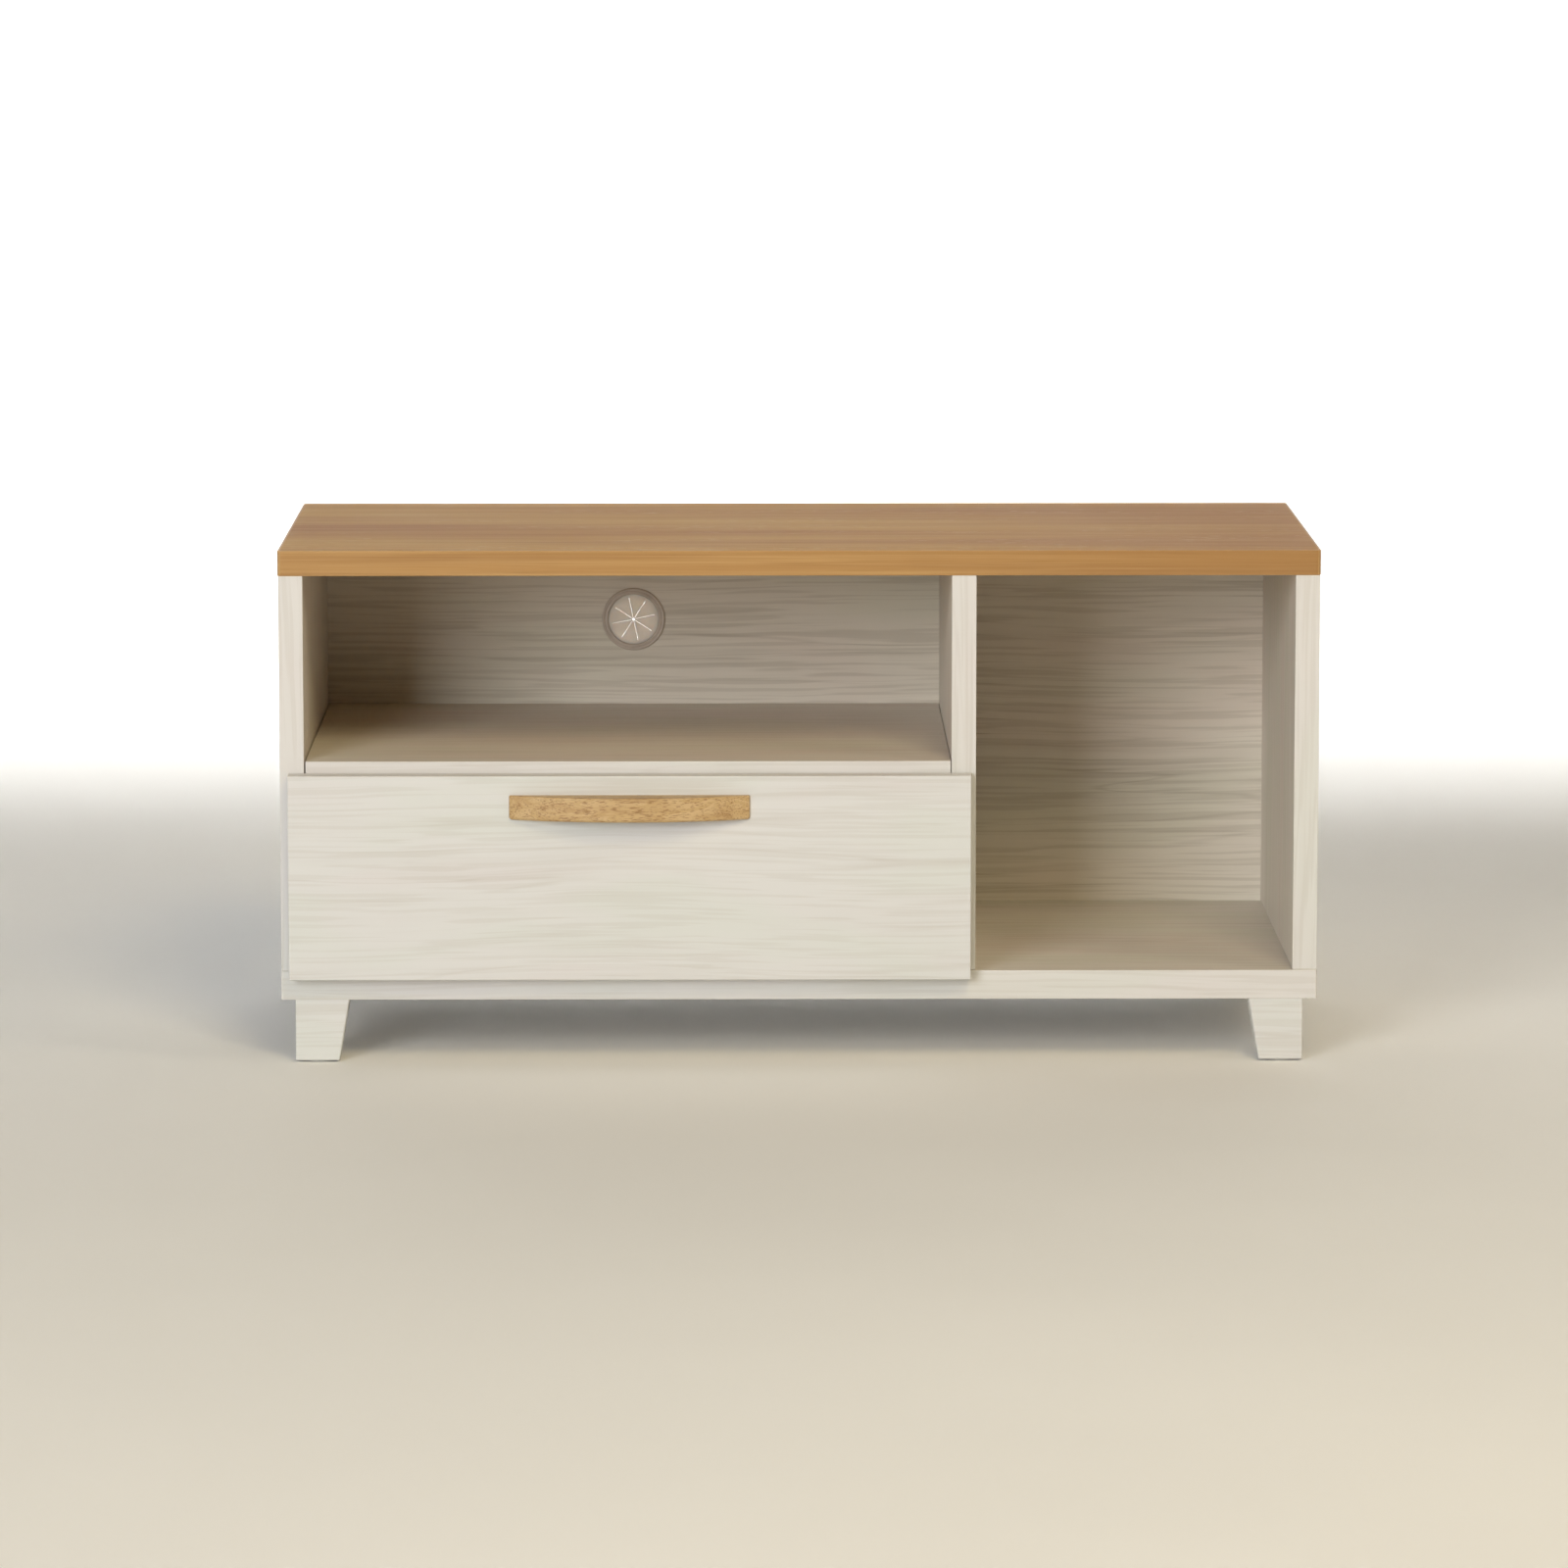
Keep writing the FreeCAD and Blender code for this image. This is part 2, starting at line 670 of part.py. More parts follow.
def bottom_sheet(inset, lift=0.0):
    """The drawer's bottom, reaching into its grooves less the inset; lift makes it the groove."""
    reach = box_groove_depth - inset
    return block((box_inner_x[0] - reach, box_inner_x[1] + reach),
                 (box_inner_y[0] - reach, box_inner_y[1] + reach),
                 (bottom_z[0] - lift, bottom_z[1] + lift))


def drawer_bottom():
    return bottom_sheet(groove_end_gap)


def box_screw_z():
    return (box_z[0] + box_screw_inset, box_z[1] - box_screw_inset)


def box_screws():
    """Countersunk screws through the left box side into the ends of the boards between the sides."""
    screws = []
    for y in (box_y[0] + box_board / 2, box_y[1] - box_board / 2):
        for z in box_screw_z():
            start = Vec(box_x[0], y, z)
            screws.append(joined([
                cone(start, X_AXIS, box_screw_head, box_screw_head_diameter, box_screw_diameter),
                rod(start, X_AXIS, box_board + box_screw_bite, box_screw_diameter),
            ]))
    return screws


def drawer_box_side():
    """The left box side, full length, grooved for the bottom."""
    side = eased(block((box_x[0], box_inner_x[0]), box_y, box_z), box_arris)
    cuts = [bottom_sheet(0.0, pin_clearance)] + box_screws() + member_screws()
    return drilled(side, cuts)


def drawer_cross_board(y):
    """The box's front or back board, between the sides."""
    board = eased(block(box_inner_x, y, box_z), box_arris)
    return drilled(board, [bottom_sheet(0.0, pin_clearance)] + on_both_sides(box_screws()))


def front_screws():
    """Pan-head screws from inside the box into the drawer front."""
    screws = []
    for x in (box_inner_x[0] + front_screw_inset, box_inner_x[1] - front_screw_inset):
        for z in (bottom_z[1] + front_screw_rise, box_z[1] - front_screw_drop):
            start = Vec(x, box_inner_y[0], z)
            screws.append(joined([
                rod(start, Y_AXIS, box_screw_head, box_screw_head_diameter),
                rod(start, -Y_AXIS, front_screw_length, box_screw_diameter),
            ]))
    return screws


def drawer_box_front():
    return drilled(drawer_cross_board((box_y[0], box_inner_y[0])), front_screws())


def drawer_box_back():
    return drawer_cross_board((box_inner_y[1], box_y[1]))


def drawer_front():
    """The visible front, drilled from behind for the box's and the handle's screws."""
    panel = block(drawer_front_x, (drawer_face_y, drawer_back_face_y), drawer_front_z)
    panel = panel.makeFillet(drawer_front_arris,
                             edges_where(panel, lambda p: near(p.y, drawer_face_y)))
    return drilled(panel, front_screws() + handle_screws())


# ---- Handle -----------------------------------------------------------------------------------------
handle_x = sum(drawer_front_x) / 2
bow_half = handle_length / 2
bow_rise = handle_reach - handle_end
bow_radius = (bow_half ** 2 + bow_rise ** 2) / (2 * bow_rise)
bow_centre_y = drawer_face_y - handle_reach + bow_radius


def bow_y(x, radius):
    """The y of the bow's arc of that radius, x away from the handle's middle."""
    return bow_centre_y - math.sqrt(radius ** 2 - x ** 2)


def bow_prism(half, radius, z):
    """The space between the drawer front's face and the bow's arc, out to half each way."""
    def point(x, y):
        return Vec(handle_x + x, y, z[0])

    left = point(-half, bow_y(half, radius))
    middle = point(0, bow_centre_y - radius)
    right = point(half, bow_y(half, radius))
    outline = Part.Wire([
        Part.makeLine(point(-half, drawer_face_y), left),
        Part.Arc(left, middle, right).toShape(),
        Part.makeLine(right, point(half, drawer_face_y)),
        Part.makeLine(point(half, drawer_face_y), point(-half, drawer_face_y)),
    ])
    return Part.Face(outline).extrude(Z_AXIS * (z[1] - z[0]))


def handle():
    """A bowed pull, solid above and hollowed from below behind a lip for the fingers."""
    body = bow_prism(bow_half, bow_radius, (handle_low_z, handle_top_z))
    ends = [e for e in body.Edges
            if near(e.Vertexes[0].X, e.Vertexes[1].X) and near(e.Vertexes[0].Y, e.Vertexes[1].Y)
            and not near(e.Vertexes[0].Y, drawer_face_y)]
    body = body.makeFillet(handle_end_radius, ends)
    for z, arris in ((handle_top_z, handle_arris), (handle_low_z, handle_low_arris)):
        rims = [e for e in edges_where(body, lambda p: near(p.z, z))
                if not all(near(v.Y, drawer_face_y) for v in e.Vertexes)]
        body = body.makeFillet(arris, rims)
    hollow = bow_prism(bow_half - finger_groove_inset, bow_radius - finger_lip,
                       (handle_low_z - 1, handle_low_z + finger_groove_height))
    inner = [e for e in hollow.Edges
             if all(near(v.Z, handle_low_z + finger_groove_height) for v in e.Vertexes)
             and not all(near(v.Y, drawer_face_y) for v in e.Vertexes)]
    hollow = hollow.makeFillet(handle_arris, inner)
    return body.cut([hollow] + handle_screws())


def handle_screws():
    """Machine screws from behind the drawer front, above the box."""
    screws = []
    spread = bow_half - handle_screw_inset
    for x in (handle_x - spread, handle_x + spread):
        start = Vec(x, drawer_back_face_y, handle_mid_z)
        screws.append(joined([
            rod(start, Y_AXIS, handle_screw_head, handle_screw_head_diameter),
            rod(start, -Y_AXIS, drawer_front_thickness + handle_screw_bite,
                handle_screw_diameter),
        ]))
    return screws


# ---- Left runner; the right one is its mirror image -------------------------------------------------
roller_x = left_inner_x + runner_sheet + roller_side_gap
roller_bore = pin_diameter + 2 * pin_clearance


def cabinet_runner():
    """A channel on the cabinet wall, open towards the drawer."""
    wall_x = left_inner_x
    tip_x = wall_x + channel_width
    roof_y = (front_roller_y + roller_radius + roller_side_gap, runner_y[1])
    channel = joined([
        block((wall_x, wall_x + runner_sheet), runner_y, (channel_low_z, channel_top_z)),
        block((wall_x, tip_x), runner_y, (channel_low_z, channel_floor_z)),
        block((wall_x, tip_x), roof_y, (channel_top_z - runner_sheet, channel_top_z)),
    ])
    return drilled(channel, cabinet_runner_screws())


def runner_screw_rows(span):
    """Near each end of a runner's span in y, and half-way between those two."""
    front = span[0] + runner_screw_inset[0]
    back = span[1] - runner_screw_inset[1]
    return (front, (front + back) / 2, back)


def cabinet_runner_screws():
    """Countersunk screws through the channel's wall, flush with it so that the roller passes."""
    z = (channel_low_z + channel_top_z) / 2
    screws = []
    for y in runner_screw_rows(runner_y):
        start = Vec(left_inner_x + runner_sheet, y, z)
        screws.append(joined([
            cone(start, -X_AXIS, runner_screw_head, runner_screw_head_diameter,
                 runner_screw_diameter),
            rod(start, -X_AXIS, runner_sheet + runner_screw_bite, runner_screw_diameter),
        ]))
    return screws


def drawer_runner():
    """The drawer's member: a wall and a ledge round the box side's lower edge, and a track."""
    low_z = box_z[0] - runner_sheet
    high_z = box_z[0] + member_height
    tab_length, tab_drop = member_tab
    track_x = (left_inner_x + track_edge, member_wall_x[0])
    member = joined([
        block(member_wall_x, box_y, (low_z, high_z)),
        block((member_wall_x[0], box_x[0] + box_board), box_y, (low_z, box_z[0])),
        block(track_x, box_y, (track_low_z, track_low_z + runner_sheet)),
        block(member_wall_x, (box_y[1] - tab_length, box_y[1]), (box_z[0] - tab_drop, low_z)),
    ])
    return drilled(member, member_screws())


def member_screws():
    """Pan-head screws through the drawer member into the box side."""
    z = box_z[0] + member_height - member_screw_below_top
    screws = []
    for y in runner_screw_rows(box_y):
        start = Vec(member_wall_x[0], y, z)
        screws.append(joined([
            rod(start, -X_AXIS, runner_screw_head, runner_screw_head_diameter),
            rod(start, X_AXIS, runner_sheet + member_screw_bite, runner_screw_diameter),
        ]))
    return screws


def roller(y, z):
    """A nylon roller with eased rims, bored for its pin."""
    start = Vec(roller_x, y, z)
    wheel = rod(start, X_AXIS, roller_width, roller_diameter)
    wheel = wheel.makeFillet(roller_rim_radius, [e for e in wheel.Edges if e.isClosed()])
    return wheel.cut(rod(start, X_AXIS, roller_width, roller_bore))


def front_roller_pin():
    """Fixed to the channel's wall, with its head on the drawer's side."""
    wall = Vec(left_inner_x + runner_sheet, front_roller_y, front_roller_z)
    length = roller_width + 2 * roller_side_gap
    return joined([
        rod(wall, X_AXIS, length, pin_diameter),
        rod(wall + X_AXIS * length, X_AXIS, pin_head, pin_head_diameter),
    ])


def rear_roller_pin():
    """Fixed to the drawer member's tab, with a collar that keeps the roller off it."""
    wall = Vec(member_wall_x[0], rear_roller_y, rear_roller_z)
    collar = wall.x - roller_x - roller_width - roller_side_gap / 2
    return joined([
        rod(wall, -X_AXIS, wall.x - roller_x + roller_side_gap / 2, pin_diameter),
        rod(wall, -X_AXIS, collar, pin_head_diameter),
    ])


# ---- The whole object -------------------------------------------------------------------------------
def group(solids):
    """Identical pieces that share one node."""
    return Part.makeCompound(solids)


def carcass_parts():
    parts = {
        "top_panel": top_panel(),
        **board_bands("top", under_top_z, top_thickness, top_corner_radius, top_band,
                      top_band_arris),
        "base_panel": base_panel(),
        **board_bands("base", base_low_z, base_thickness, base_corner_radius, carcass_band,
                      carcass_band_arris),
        "shelf_panel": shelf_panel(),
        "shelf_edge_band": shelf_band(),
        "left_back_panel": left_back_panel(),
        "right_back_panel": back_panel(bays[1]),
        "cable_grommet_ring": grommet_ring(),
        "cable_grommet_membrane": grommet_membrane(),
        "carcass_dowels": group([d.solid() for d in all_dowels()]),
        "base_screws": group([base_screw(x, y) for x, y in base_screw_places()]),
        "shelf_cams": group([shelf_cam(place) for place in cam_places()]),
        "shelf_cam_bolts": group([cam_bolt(*place, cam_bolt_diameter) for place in cam_places()]),
    }
    for name, label in (("left", "left_side"), ("right", "right_side"), ("divider", "divider")):
        parts[f"{label}_panel"] = upright(name)
        parts[f"{label}_edge_band"] = upright_band(name)
    return parts


def foot_parts():
    places = foot_places()
    parts = {f"foot_{place[0]}": foot(place) for place in places}
    parts["foot_glides"] = group([glide(place) for place in places])
    parts["foot_bolts"] = group([foot_bolt(place) for place in places])
    parts["foot_bolt_inserts"] = group([insert(place) for place in places])
    parts["foot_dowels"] = group([foot_pin(place) for place in places])
    return parts


def drawer_parts():
    return {
        "drawer_front": drawer_front(),
        "drawer_box_front": drawer_box_front(),
        "drawer_box_back": drawer_box_back(),
        "drawer_box_left_side": drawer_box_side(),
        "drawer_box_right_side": mirrored(drawer_box_side()),
        "drawer_bottom": drawer_bottom(),
        "drawer_box_screws": group(on_both_sides(box_screws())),
        "drawer_front_screws": group(front_screws()),
        "drawer_handle": handle(),
        "handle_screws": group(handle_screws()),
    }


def runner_parts():
    front_roller = roller(front_roller_y, front_roller_z)
    rear_roller = roller(rear_roller_y, rear_roller_z)
    return {
        "cabinet_runner_left": cabinet_runner(),
        "cabinet_runner_right": mirrored(cabinet_runner()),
        "drawer_runner_left": drawer_runner(),
        "drawer_runner_right": mirrored(drawer_runner()),
        "front_roller_left": front_roller,
        "front_roller_right": mirrored(front_roller),
        "rear_roller_left": rear_roller,
        "rear_roller_right": mirrored(rear_roller),
        "front_roller_pins": group(on_both_sides([front_roller_pin()])),
        "rear_roller_pins": group(on_both_sides([rear_roller_pin()])),
        "cabinet_runner_screws": group(on_both_sides(cabinet_runner_screws())),
        "drawer_runner_screws": group(on_both_sides(member_screws())),
    }


def main():
    os.makedirs("parts", exist_ok=True)
    parts = {**carcass_parts(), **foot_parts(), **drawer_parts(), **runner_parts()}
    for name, shape in parts.items():
        assert shape.isValid(), f"{name} is not a valid shape"
        shape.exportStep(f"parts/{name}.step")
    print(f"{len(parts)} nodes, {sum(len(s.Solids) for s in parts.values())} solids")


main()
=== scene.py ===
"""Looks of the low TV stand: materials, detailed pieces, light, floor and camera.

Everything is in metres in the row frame: +X to the right seen from the front, +Y to the back,
+Z up, with the floor at z = 0.
"""
import math

import bmesh
import bpy
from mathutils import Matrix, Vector


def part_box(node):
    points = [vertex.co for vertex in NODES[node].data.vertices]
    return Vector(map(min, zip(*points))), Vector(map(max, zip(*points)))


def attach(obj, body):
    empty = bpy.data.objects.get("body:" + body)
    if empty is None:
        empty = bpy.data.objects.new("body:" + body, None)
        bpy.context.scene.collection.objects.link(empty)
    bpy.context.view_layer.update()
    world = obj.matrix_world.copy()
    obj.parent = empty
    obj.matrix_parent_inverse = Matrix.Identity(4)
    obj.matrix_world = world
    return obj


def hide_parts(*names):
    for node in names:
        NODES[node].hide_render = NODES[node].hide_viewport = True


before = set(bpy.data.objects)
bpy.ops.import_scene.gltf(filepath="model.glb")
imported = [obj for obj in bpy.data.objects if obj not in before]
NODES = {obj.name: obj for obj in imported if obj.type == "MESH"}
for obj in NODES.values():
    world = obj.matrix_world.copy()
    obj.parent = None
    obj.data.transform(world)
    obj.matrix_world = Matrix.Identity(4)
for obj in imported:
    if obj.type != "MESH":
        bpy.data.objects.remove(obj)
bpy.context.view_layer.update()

MM = 0.001
SAME_PLACE = 0.001 * MM    # vertices closer than this are one corner

# ---- Colours, as sRGB values from 0 to 255 -------------------------------------------------------
WHITE_FOIL = (218, 218, 218)
PANEL_FOIL_WARM_SHADE = (222, 217, 208)        # the carcass boards, a little creamier than the fronts: painted warm shade of the bays' insides
GREENER = (0.990, 1.0, 0.990)       # gains on a foil's base colour, for its blotches
PINKER = (1.0, 0.988, 0.991)
WHITE_EDGE = (219, 217, 216)
WHITE_LINE = (168, 158, 142)
# painted highlight for the foil's rounded arrises
WHITE_ARRIS_HIGHLIGHT = (236, 232, 226)
# creamier back panel foil: painted warm shade inside the bays
BACK_FOIL_WARM_SHADE = (224, 217, 204)
TOP_BASE = (195, 149, 76)
TOP_LIGHT = (210, 171, 100)
TOP_RED = (171, 120, 58)
TOP_FLECK = (220, 185, 116)
TOP_PORE = (142, 98, 46)
EDGE_BASE = (177, 135, 81)
EDGE_LIGHT = (195, 158, 103)
EDGE_DARK = (152, 110, 64)
EDGE_ARRIS_HIGHLIGHT = (224, 188, 136)
# painted highlight for the beech strips' rounded arrises
HANDLE_BASE = (195, 164, 116)
HANDLE_LIGHT = (213, 185, 142)
HANDLE_DARK = (175, 139, 92)
HANDLE_PORE = (128, 86, 48)
BOARD_CORE = (176, 146, 108)
BOARD_CHIP_DARK = (124, 94, 64)
BOARD_CHIP_LIGHT = (206, 180, 142)
GROMMET = (190, 178, 166)
MEMBRANE = (220, 213, 203)
DRAWER_BOTTOM = (214, 208, 196)
ZINC = (196, 198, 196)
ZINC_CASTING = (170, 170, 168)
BRASS = (206, 176, 106)
RUNNER_ENAMEL = (226, 222, 210)
ROLLER_NYLON = (236, 234, 226)
GLIDE_PLASTIC = (214, 212, 205)
FLOOR_DARKER = (243, 243, 242)
FLOOR_PALER = (246, 246, 245)


def linear(colour):
    """An sRGB colour of 0 to 255 as linear RGBA."""
    def channel(c):
        c /= 255.0
        return c / 12.92 if c <= 0.04045 else ((c + 0.055) / 1.055) ** 2.4
    return (*[channel(c) for c in colour], 1.0)


# ---- Building node materials ---------------------------------------------------------------------
class Graph:
    """A material's node tree. Each method adds a node and returns its output socket."""

    def __init__(self, name):
        self.material = bpy.data.materials.new(name)
        self.material.use_nodes = True
        self.nodes = self.material.node_tree.nodes
        self.links = self.material.node_tree.links
        self.nodes.clear()
        self.shader = self.nodes.new("ShaderNodeBsdfPrincipled")
        output = self.nodes.new("ShaderNodeOutputMaterial")
        self.links.new(self.shader.outputs["BSDF"], output.inputs["Surface"])

    def put(self, socket, value):
        """Links a socket's input to another socket, or sets it to a number or colour."""
        if isinstance(value, bpy.types.NodeSocket):
            self.links.new(value, socket)
        else:
            socket.default_value = value

    def math(self, operation, *values, clamp=False):
        node = self.nodes.new("ShaderNodeMath")
        node.operation = operation
        node.use_clamp = clamp
        for socket, value in zip(node.inputs, values):
            self.put(socket, value)
        return node.outputs[0]

    def vector_math(self, operation, a, b):
        node = self.nodes.new("ShaderNodeVectorMath")
        node.operation = operation
        self.put(node.inputs[0], a)
        self.put(node.inputs[1], b)
        return node.outputs[0]

    def position(self):
        """The point in the row frame at rest; it rides with the piece."""
        return self.nodes.new("ShaderNodeTexCoord").outputs["Object"]

    def split(self, vector):
        node = self.nodes.new("ShaderNodeSeparateXYZ")
        self.put(node.inputs[0], vector)
        return node.outputs

    def join(self, x, y, z):
        node = self.nodes.new("ShaderNodeCombineXYZ")
        for socket, value in zip(node.inputs, (x, y, z)):
            self.put(socket, value)
        return node.outputs[0]

    def noise(self, vector, scale=1.0, detail=2.0, roughness=0.5, distortion=0.0, output="Fac"):
        node = self.nodes.new("ShaderNodeTexNoise")
        self.put(node.inputs["Vector"], vector)
        self.put(node.inputs["Scale"], scale)
        self.put(node.inputs["Detail"], detail)
        self.put(node.inputs["Roughness"], roughness)
        self.put(node.inputs["Distortion"], distortion)
        return node.outputs[output]

    def cells(self, vector, scale=1.0, output="Color"):
        node = self.nodes.new("ShaderNodeTexVoronoi")
        self.put(node.inputs["Vector"], vector)
        self.put(node.inputs["Scale"], scale)
        return node.outputs[output]

    def span(self, value, low, high, out_low=0.0, out_high=1.0):
        """Maps low..high to out_low..out_high, smoothly and clamped."""
        node = self.nodes.new("ShaderNodeMapRange")
        node.interpolation_type = "SMOOTHSTEP"
        for socket, v in zip(node.inputs, (value, low, high, out_low, out_high)):
            self.put(socket, v)
        return node.outputs[0]

    def mix(self, factor, a, b, blend="MIX"):
        node = self.nodes.new("ShaderNodeMix")
        node.data_type = "RGBA"
        node.blend_type = blend
        self.put(node.inputs[0], factor)
        self.put(node.inputs[6], a)
        self.put(node.inputs[7], b)
        return node.outputs[2]

    def bump(self, height, distance, strength=1.0):
        node = self.nodes.new("ShaderNodeBump")
        node.inputs["Distance"].default_value = distance
        node.inputs["Strength"].default_value = strength
        self.put(node.inputs["Height"], height)
        return node.outputs[0]

    def surface(self, colour, roughness, normal=None, **constants):
        """Sets the shader's colour, roughness and normal, and its constant inputs by name."""
        self.put(self.shader.inputs["Base Color"], colour)
        self.put(self.shader.inputs["Roughness"], roughness)
        if normal is not None:
            self.put(self.shader.inputs["Normal"], normal)
        for name, value in constants.items():
            self.shader.inputs[name.replace("_", " ")].default_value = value
        return self.material


# ---- Wood ----------------------------------------------------------------------------------------
GRAIN_ORDER = {"X": (0, 1, 2), "Y": (1, 0, 2), "Z": (2, 0, 1)}


def grain_point(g, axis, seed):
    """The point as (along the grain, across it, across it), shifted by the seed."""
    parts = g.split(g.position())
    along, across, depth = (parts[i] for i in GRAIN_ORDER[axis])
    shifted = g.join(along, across, depth)
    return g.vector_math("ADD", shifted, (seed * 1.37, seed * 0.73, seed * 2.11))


def stretched(g, point, along, across):
    """The grain point scaled, cycles per metre along the grain and across it."""
    return g.vector_math("MULTIPLY", point, (along, across, across))


def wavering(g, point, along, across, sway):
    """The grain point with its lines swaying sideways by up to about half of sway."""
    shift = g.noise(stretched(g, point, along, across), 1.0, 1.0, output="Color")
    shift = g.vector_math("SUBTRACT", shift, (0.5, 0.5, 0.5))
    return g.vector_math("ADD", point, g.vector_math("MULTIPLY", shift, (0.0, sway, sway)))


def ridge(g, value, level, width):
    """1 where the value passes the level, falling to 0 a width to each side."""
    return g.math("SUBTRACT", 1.0, g.span(g.math("ABSOLUTE", g.math("SUBTRACT", value, level)),
                                          0.0, width))


def edge_closeness(g, box, reach, ragged):
    """1 on the edges of the box, falling to 0 at reach from them, with a ragged border."""
    low, high = box
    xyz = g.split(g.position())
    gaps = []
    for i in range(3):
        from_low = g.math("SUBTRACT", xyz[i], low[i])
        to_high = g.math("SUBTRACT", high[i], xyz[i])
        gaps.append(g.math("ABSOLUTE", g.math("MINIMUM", from_low, to_high)))
    small = g.math("MINIMUM", gaps[0], gaps[1])
    large = g.math("MAXIMUM", gaps[0], gaps[1])
    middle = g.math("MAXIMUM", small, g.math("MINIMUM", large, gaps[2]))
    border = g.math("MULTIPLY_ADD", ragged, reach, reach * 0.4)
    return g.math("SUBTRACT", 1.0, g.span(g.math("DIVIDE", middle, border), 0.2, 1.0))


def particle_board(g):
    """Colour and relief of a raw chipboard edge: flat chips of several browns."""
    p = g.vector_math("MULTIPLY", g.position(), (420.0, 420.0, 800.0))
    wobble = g.noise(g.position(), 260.0, 2.0)
    chips = g.cells(g.vector_math("ADD", p, g.join(wobble, wobble, wobble)))
    shade = g.split(chips)[0]
    tone = g.mix(g.span(shade, 0.1, 0.9), linear(BOARD_CHIP_DARK), linear(BOARD_CHIP_LIGHT))
    return g.mix(0.45, tone, linear(BOARD_CORE)), shade


def with_raw_back(g, box, colour, roughness, height):
    """The same three sockets, with raw chipboard on the face furthest back."""
    core, relief = particle_board(g)
    is_raw = g.math("GREATER_THAN", g.split(g.position())[1], box[1][1] - 0.05 * MM)
    return (g.mix(is_raw, colour, core),
            g.math("MAXIMUM", roughness, g.math("MULTIPLY", is_raw, 0.9)),
            g.math("MULTIPLY_ADD", g.math("MULTIPLY", is_raw, relief), 3.0, height))


def foil(name, axis, seed, box, base=WHITE_FOIL, contrast=1.0, raw_back=False):
    """Whitewashed wood-grain foil: fine swaying lines, a few darker growth lines, pale blotches."""
    g = Graph(name)
    p = grain_point(g, axis, seed)
    p = wavering(g, p, 2.3, 5.0, 22.0 * MM)
    p = wavering(g, p, 11.0, 26.0, 3.0 * MM)
    fine = g.noise(stretched(g, p, 6.0, 300.0), 1.0, 1.0)
    medium = g.noise(stretched(g, p, 4.0, 130.0), 1.0, 2.0, 0.6)
    growth = g.noise(stretched(g, p, 0.9, 26.0), 1.0, 2.0, 0.55)
    growth_line = g.math("MAXIMUM", ridge(g, growth, 0.46, 0.010), ridge(g, growth, 0.58, 0.013))
    patch = g.span(g.noise(stretched(g, p, 3.0, 16.0), 1.0, 2.0), 0.38, 0.64, 0.15, 1.0)
    hue = g.noise(stretched(g, p, 4.0, 15.0), 1.0, 2.0)

    greener = tuple(c * k for c, k in zip(base, GREENER))
    pinker = tuple(c * k for c, k in zip(base, PINKER))
    colour = g.mix(g.span(hue, 0.36, 0.5), linear(greener), linear(base))
    colour = g.mix(g.span(hue, 0.52, 0.68), colour, linear(pinker))
    lines = g.span(fine, 0.47, 0.62, 0.0, 0.12)
    lines = g.math("ADD", lines, g.math("MULTIPLY", patch, g.span(medium, 0.4, 0.72, 0.0, 0.10)))
    lines = g.math("MULTIPLY_ADD", g.math("MULTIPLY", growth_line, patch), 0.12, lines)
    colour = g.mix(g.math("MULTIPLY", lines, contrast, clamp=True), colour, linear(WHITE_LINE))

    ragged = g.noise(g.position(), 90.0, 3.0)
    # Painted highlight: the foil turns paler near the board's edges, where light catches the rounded
    # arrises.
    arris_highlight = edge_closeness(g, box, 1.2 * MM, ragged)
    colour = g.mix(g.math("MULTIPLY", arris_highlight, 0.25), colour, linear(WHITE_ARRIS_HIGHLIGHT))
    smudge = g.noise(g.position(), 9.0, 3.0)
    roughness = g.math("MULTIPLY_ADD", smudge, 0.14, 0.44)
    roughness = g.math("MULTIPLY_ADD", lines, 0.3, roughness)
    height = g.math("MULTIPLY_ADD", lines, -2.0, g.math("MULTIPLY", fine, 0.3))
    if raw_back:
        colour, roughness, height = with_raw_back(g, box, colour, roughness, height)
    return g.surface(colour, roughness, g.bump(height, 0.06 * MM), Specular_IOR_Level=0.3)


def beech_top(name, box):
    """Beech-faced board: straight streaks with pale ray flecks, browner towards the right end."""
    g = Graph(name)
    p = wavering(g, grain_point(g, "X", 3.0), 2.0, 6.0, 12.0 * MM)
    broad = g.noise(stretched(g, p, 1.2, 11.0), 1.0, 2.0)
    streak = g.noise(stretched(g, p, 3.0, 150.0), 1.0, 3.0, 0.6)
    fine = g.noise(stretched(g, p, 16.0, 640.0), 1.0, 2.0, 0.6)
    fleck_noise = g.noise(stretched(g, p, 70.0, 210.0), 1.0, 2.0, 0.6)
    fleck_zone = g.span(g.noise(stretched(g, p, 5.0, 26.0), 1.0, 2.0), 0.46, 0.62)
    x = g.split(g.position())[0]

    colour = g.mix(g.span(broad, 0.36, 0.7), linear(TOP_BASE), linear(TOP_RED))
    browner = g.span(g.math("MULTIPLY_ADD", broad, 0.3, x), 0.1, 0.62, 0.0, 0.85)
    colour = g.mix(browner, colour, linear(TOP_RED))
    colour = g.mix(g.span(streak, 0.42, 0.75, 0.0, 0.35), colour, linear(TOP_LIGHT))
    flecks = g.math("MULTIPLY", g.span(fleck_noise, 0.52, 0.7), fleck_zone)
    colour = g.mix(g.math("MULTIPLY", flecks, 0.22), colour, linear(TOP_FLECK))
    colour = g.mix(g.span(fine, 0.5, 0.8, 0.0, 0.3), colour, linear(TOP_PORE))
    smudge = g.noise(g.position(), 7.0, 3.0)
    roughness = g.math("MULTIPLY_ADD", smudge, 0.12, 0.56)
    roughness = g.math("MULTIPLY_ADD", flecks, -0.08, roughness)
    height = g.math("MULTIPLY_ADD", fine, -0.6, g.math("MULTIPLY", streak, 0.4))
    colour, roughness, height = with_raw_back(g, box, colour, roughness, height)
    return g.surface(colour, roughness, g.bump(height, 0.05 * MM), Specular_IOR_Level=0.08)


